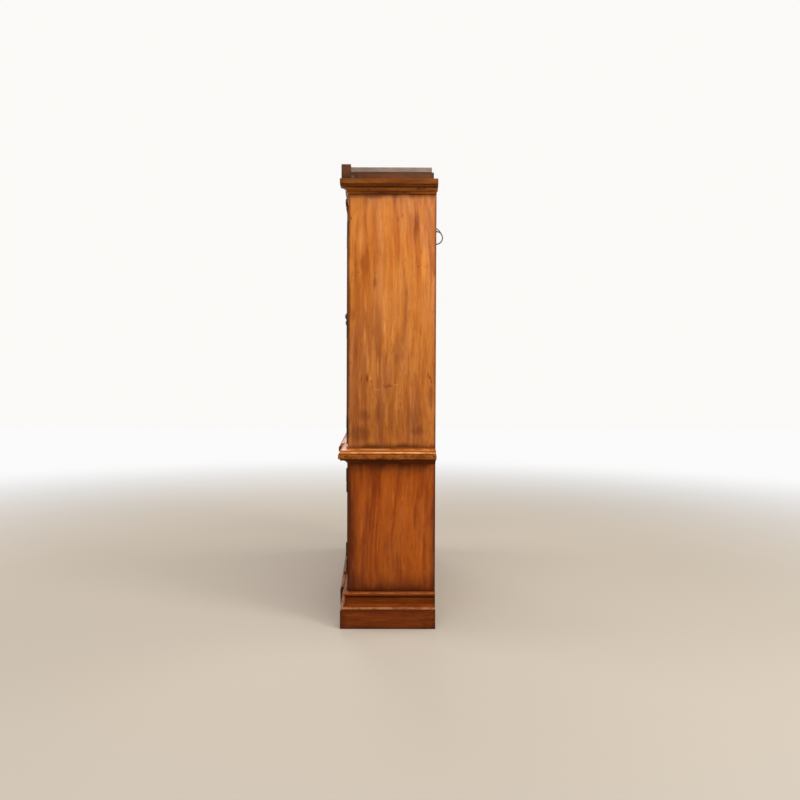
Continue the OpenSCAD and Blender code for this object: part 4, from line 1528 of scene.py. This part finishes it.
@dataclass
class Screws:
    """Slotted screw heads in the hinge leaves, the keyhole plates and the back panels.

    Attributes:
        shape: Named sizes of a head, as shares of its radius.
        seed: Seed of the turn of each slot.
        leaf: Thickness of a hinge leaf, as leaf_gap is the space between two of a closed hinge.
        row_step: Space between two screws of a leaf.
        from_back: Depth of the screws inside the back edge of a leaf.
        leaf_head: Radius of their heads, as pin_head and panel_head are of the others.
        plate: Thickness of a keyhole plate, as plate_half is half its width.
        plate_height: Height of its middle over the floor.
        plate_pin: Space from its middle to each of its pins.
        inset: Space from the edge of a back panel to its screws.
    """

    shape: dict[str, float] = field(
        default_factory=lambda: {"Head Height": 0.34, "Proud": 0.06, "Slot Width": 0.24, "Slot Depth": 0.20}
    )
    sides: int = 20
    seed: int = 4
    leaf: float = 1.0 * MM
    leaf_gap: float = 0.6 * MM
    hinge_half: float = 29.0 * MM
    row_step: float = 20.0 * MM
    from_back: float = 7.0 * MM
    leaf_head: float = 2.6 * MM
    plate: float = 2.0 * MM
    plate_half: float = 9.0 * MM
    plate_height: float = 424.5 * MM
    plate_pin: float = 12.0 * MM
    pin_head: float = 1.0 * MM
    inset: float = 9.0 * MM
    panel_head: float = 3.5 * MM

    def tree(self) -> Tree:
        """Makes the node tree that puts a head on each point.

        Returns:
            The tree.
        """
        inputs = {"Points": "Geometry", "Sides": "Int", "Seed": "Int", "Finish": "Material"}
        inputs.update(dict.fromkeys(self.shape, "Float"))
        tree, graph, given = new_group("slotted heads", "GeometryNodeTree", inputs, {"Heads": "Geometry"})
        tall = given["Head Height"]
        sizes = {"Vertices": given["Sides"], "Radius Top": 0.86, "Radius Bottom": 1.0, "Depth": tall}
        blank = graph.add("GeometryNodeMeshCone", sizes, "Mesh")
        slot = graph.join(2.5, given["Slot Width"], given["Slot Depth"] * 2.0)
        bar = graph.add("GeometryNodeMeshCube", {"Size": slot}, "Mesh")
        cutter = graph.add("GeometryNodeTransform", {"Geometry": bar, "Translation": graph.join(z=tall)})
        slotted = graph.add("GeometryNodeMeshBoolean", {"Mesh 1": blank, "Mesh 2": cutter}, "Mesh")
        sunk = graph.join(z=given["Proud"] - tall)
        head = graph.add("GeometryNodeTransform", {"Geometry": slotted, "Translation": sunk})
        angle = graph.add(
            "FunctionNodeRandomValue", {2: 0.0, 3: math.tau, "Seed": given["Seed"]}, 1, data_type="FLOAT",
        )
        spin = graph.add("FunctionNodeAxisAngleToRotation", {"Axis": tuple(UP), "Angle": angle})
        aim, size = (
            graph.add("GeometryNodeInputNamedAttribute", {"Name": name}, "Attribute", data_type=kind)
            for name, kind in (("aim", "FLOAT_VECTOR"), ("size", "FLOAT"))
        )
        facing = graph.add("FunctionNodeAlignRotationToVector", {"Vector": aim}, axis="Z")
        turns = {"Rotation": facing, "Rotate By": spin}
        posed = graph.add("FunctionNodeRotateRotation", turns, rotation_space="LOCAL")
        heads = {"Points": given["Points"], "Instance": head, "Rotation": posed, "Scale": size}
        placed = graph.add("GeometryNodeInstanceOnPoints", heads)
        real = graph.add("GeometryNodeRealizeInstances", {0: placed})
        dressed = graph.add("GeometryNodeSetMaterial", {"Geometry": real, "Material": given["Finish"]})
        graph.node("NodeGroupOutput", {0: dressed})
        return tree

    def scatter(self, tree: Tree, heads: Sequence[Head], body: str, slot: str, material: Material) -> Piece:
        """Makes the heads of one body as one mesh.

        Args:
            tree: The tree that puts a head on each point.
            heads: The heads.
            body: The body that they ride on.
            slot: The record's slot of their finish.
            material: Their finish.

        Returns:
            The piece.
        """
        points = bpy.data.meshes.new("screw places")
        points.from_pydata([head.place for head in heads], [], [])
        aim = points.attributes.new("aim", "FLOAT_VECTOR", "POINT")
        aim.data.foreach_set("vector", [part for head in heads for part in head.aim])
        size = points.attributes.new("size", "FLOAT", "POINT")
        size.data.foreach_set("value", [head.radius for head in heads])
        piece = linked(f"{body}_{slot}_screws", points)
        modifier = piece.modifiers.new("heads", "NODES")
        modifier.node_group = tree
        given = {"Sides": self.sides, "Seed": self.seed, "Finish": material, **self.shape}
        for item in tree.interface.items_tree:
            if item.name in given:
                modifier[item.identifier] = given[item.name]
        ready = piece.evaluated_get(bpy.context.evaluated_depsgraph_get())
        mesh = bpy.data.meshes.new_from_object(ready)
        piece.modifiers.clear()
        piece.data = mesh
        return place_piece(piece, body, slot)

    def hinge_heads(self, door: int, node: str, count: int) -> tuple[list[Head], list[Head]]:
        """Places the heads in the hinges of one door.

        Args:
            door: Number of the door.
            node: Node that holds its leaves.
            count: Number of its hinges.

        Returns:
            The heads in the frame's leaves and those in the door's leaves.
        """
        left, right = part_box(f"upper_leaves_{door}")
        low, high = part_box(node)
        side = -1.0 if left.x > 0.0 else 1.0
        door_face = (left.x if side < 0.0 else right.x) - side * self.leaf
        frame_face = door_face - side * self.leaf_gap
        depth = high.y - self.from_back
        first, last = low.z + self.hinge_half, high.z - self.hinge_half
        on_frame, on_door = [], []
        for hinge in range(count):
            for row in (-self.row_step, 0.0, self.row_step):
                height = first + (last - first) * hinge / (count - 1) + row
                on_door.append(Head((door_face, depth, height), (-side, 0.0, 0.0), self.leaf_head))
                on_frame.append(Head((frame_face, depth, height), (side, 0.0, 0.0), self.leaf_head))
        return on_frame, on_door

    def plate_heads(self, door: int) -> list[Head]:
        """Places the two heads in the keyhole plate of a lower door.

        Args:
            door: Number of the door.

        Returns:
            The heads.
        """
        low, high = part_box(f"lower_fittings_{door}")
        hung_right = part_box(f"upper_leaves_{door}")[0].x > 0.0
        middle = low.x + self.plate_half if hung_right else high.x - self.plate_half
        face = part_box(f"lower_frame_{door}")[0].y - self.plate
        heights = (self.plate_height - self.plate_pin, self.plate_height + self.plate_pin)
        return [Head((middle, face, height), (0.0, -1.0, 0.0), self.pin_head) for height in heights]

    def panel_heads(self, node: str, rows: int) -> list[Head]:
        """Places the heads round a back panel and along the partitions in front of it.

        Args:
            node: The panel's node.
            rows: Number of heads in an upright row.

        Returns:
            The heads.
        """
        low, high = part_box(node)
        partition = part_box("upper_partitions")[1].x - self.inset
        left, right = low.x + self.inset, high.x - self.inset
        bottom, top = low.z + self.inset, high.z - self.inset
        places = []
        for row in range(rows):
            height = bottom + (top - bottom) * row / (rows - 1)
            places += [(across, height) for across in (left, -partition, partition, right)]
        between = ((left - partition) / 2, -partition / 2, 0.0, partition / 2, (right + partition) / 2)
        places += [(across, height) for height in (bottom, top) for across in between]
        return [Head((across, high.y, height), tuple(BACK), self.panel_head) for across, height in places]

    def build(self, brass: Material, zinc: Material) -> None:
        """Makes the heads of every body.

        Args:
            brass: Finish of those on the doors and their hinges.
            zinc: Finish of those in the back.
        """
        tree = self.tree()
        frame_heads = []
        for door in DOORS:
            on_frame, on_upper = self.hinge_heads(door, f"upper_leaves_{door}", 3)
            below, on_lower = self.hinge_heads(door, f"lower_fittings_{door}", 2)
            frame_heads += on_frame + below
            self.scatter(tree, on_upper, f"upper_door_{door}", "hinge_metal", brass)
            on_lower += self.plate_heads(door)
            self.scatter(tree, on_lower, f"lower_door_{door}", "hinge_metal", brass)
        self.scatter(tree, frame_heads, CABINET, "hinge_metal", brass)
        backs = self.panel_heads("upper_back", 7) + self.panel_heads("lower_back", 5)
        self.scatter(tree, backs, CABINET, "catch_metal", zinc)


@dataclass
class Hardware:
    """Hinges, knobs, keyhole plates, catches, screws, the light and its cord's sleeve."""

    leaf_ease: float = 0.2 * MM
    catch_ease: float = 0.6 * MM
    light_ease: float = 0.5 * MM

    def build(self, trim: dict[Trim, Material]) -> None:
        """Dresses the nodes.

        Args:
            trim: The finishes.
        """
        brass = trim[Trim.BRASS]
        for node in ("hinge_frame_leaves", "hinge_pins"):
            EasedNode(node, self.leaf_ease, segments=1).build(brass)
        for door in DOORS:
            for stem in ("upper_leaves_", "lower_fittings_"):
                EasedNode(f"{stem}{door}", self.leaf_ease, segments=1).build(brass)
            Knob(door).build(trim[Trim.BRONZE])
        EasedNode("door_catches", self.catch_ease).build(trim[Trim.ZINC])
        light = EasedNode("cabinet_light", self.light_ease, parts=(1, 0, 2))
        light.build(trim[Trim.RUBBER], trim[Trim.ENAMEL], trim[Trim.OPAL])
        CordSleeve().build(trim[Trim.PLASTIC])
        Screws().build(brass, trim[Trim.ZINC])


# Woodwork


@dataclass
class Woodwork:
    """Every wooden node of the bookcase, eased and stained.

    Attributes:
        eases: Width in mm of the eased edges of each node, by its wood. A # stands for each door's number.
        options: What else is set for a node.
    """

    eases: dict[WoodStain, dict[str, float]] = field(default_factory=lambda: {
        WoodStain.UPPER_CASE: {"upper_sides": 1.6},
        WoodStain.LOWER_CASE: {"lower_sides": 1.6},
        WoodStain.PLINTH: {"plinth_boards": 1.6},
        WoodStain.CAP: {"plinth_cap": 0.5},
        WoodStain.UPPER_FRONT: {"upper_face_frame": 0.8, "upper_sash_#": 0.7},
        WoodStain.LOWER_FRONT: {"lower_face_frame": 0.8, "lower_frame_#": 0.7, "lower_panel_#": 0.7},
        WoodStain.MOULDING: {"ledge_board": 2.2, "foot_moulding": 0.5, "bed_mould": 0.5},
        WoodStain.SHADED: {"ledge_cove": 0.5},
        WoodStain.CORNICE: {"cornice": 0.5},
        WoodStain.CROWN: {"corner_blocks": 1.5, "blocking_course": 1.5},
        WoodStain.ATTIC: {"attic_boards": 1.5},
        WoodStain.ATTIC_CORNICE: {"attic_cornice": 0.5},
        WoodStain.INSIDE: {
            "lower_partitions": 1.0, "lower_floor": 1.0, "upper_partitions": 1.0, "shelves": 1.5,
            "shelf_cleats": 0.8,
        },
        WoodStain.BACK: {"lower_back": 1.0, "upper_back": 1.0},
    })
    options: dict[str, dict[str, object]] = field(default_factory=lambda: {
        "upper_sides": {"shown": (0.728, 1.750)}, "lower_sides": {"shown": (0.146, 0.672)},
        "ledge_board": {"segments": 3},
        "lower_back": {"grain": Grain.UPRIGHT}, "upper_back": {"grain": Grain.UPRIGHT},
    })

    def build(self, finishes: dict[WoodStain, Material]) -> None:
        """Makes the pieces.

        Args:
            finishes: The woods.
        """
        for stain, nodes in self.eases.items():
            for name, ease in nodes.items():
                for door in DOORS if "#" in name else DOORS[:1]:
                    node = EasedNode(name.replace("#", str(door)), ease * MM, **self.options.get(name, {}))
                    node.build(finishes[stain])
        EasedNode("upper_top", topped=True).build(finishes[WoodStain.INSIDE], finishes[WoodStain.CROWN])


def main() -> None:
    """Builds the bookcase's looks in order."""
    logging.basicConfig(level=logging.INFO, format="%(message)s")
    PhotoCamera().build()
    trim = {finish: finish.value.build() for finish in Trim}
    LampCord().build(trim[Trim.RUBBER], trim[Trim.PLASTIC], trim[Trim.ZINC])
    figure = BoardFigure().build()
    Woodwork().build({stain: stain.value.build(figure) for stain in WoodStain})
    Hardware().build(trim)
    glass = GlassFinish().build()
    for door in DOORS:
        frame["nodes"][f"upper_glass_{door}"].material_slots[0].material = glass
    Studio().build()


if __name__ == "__main__":
    main()
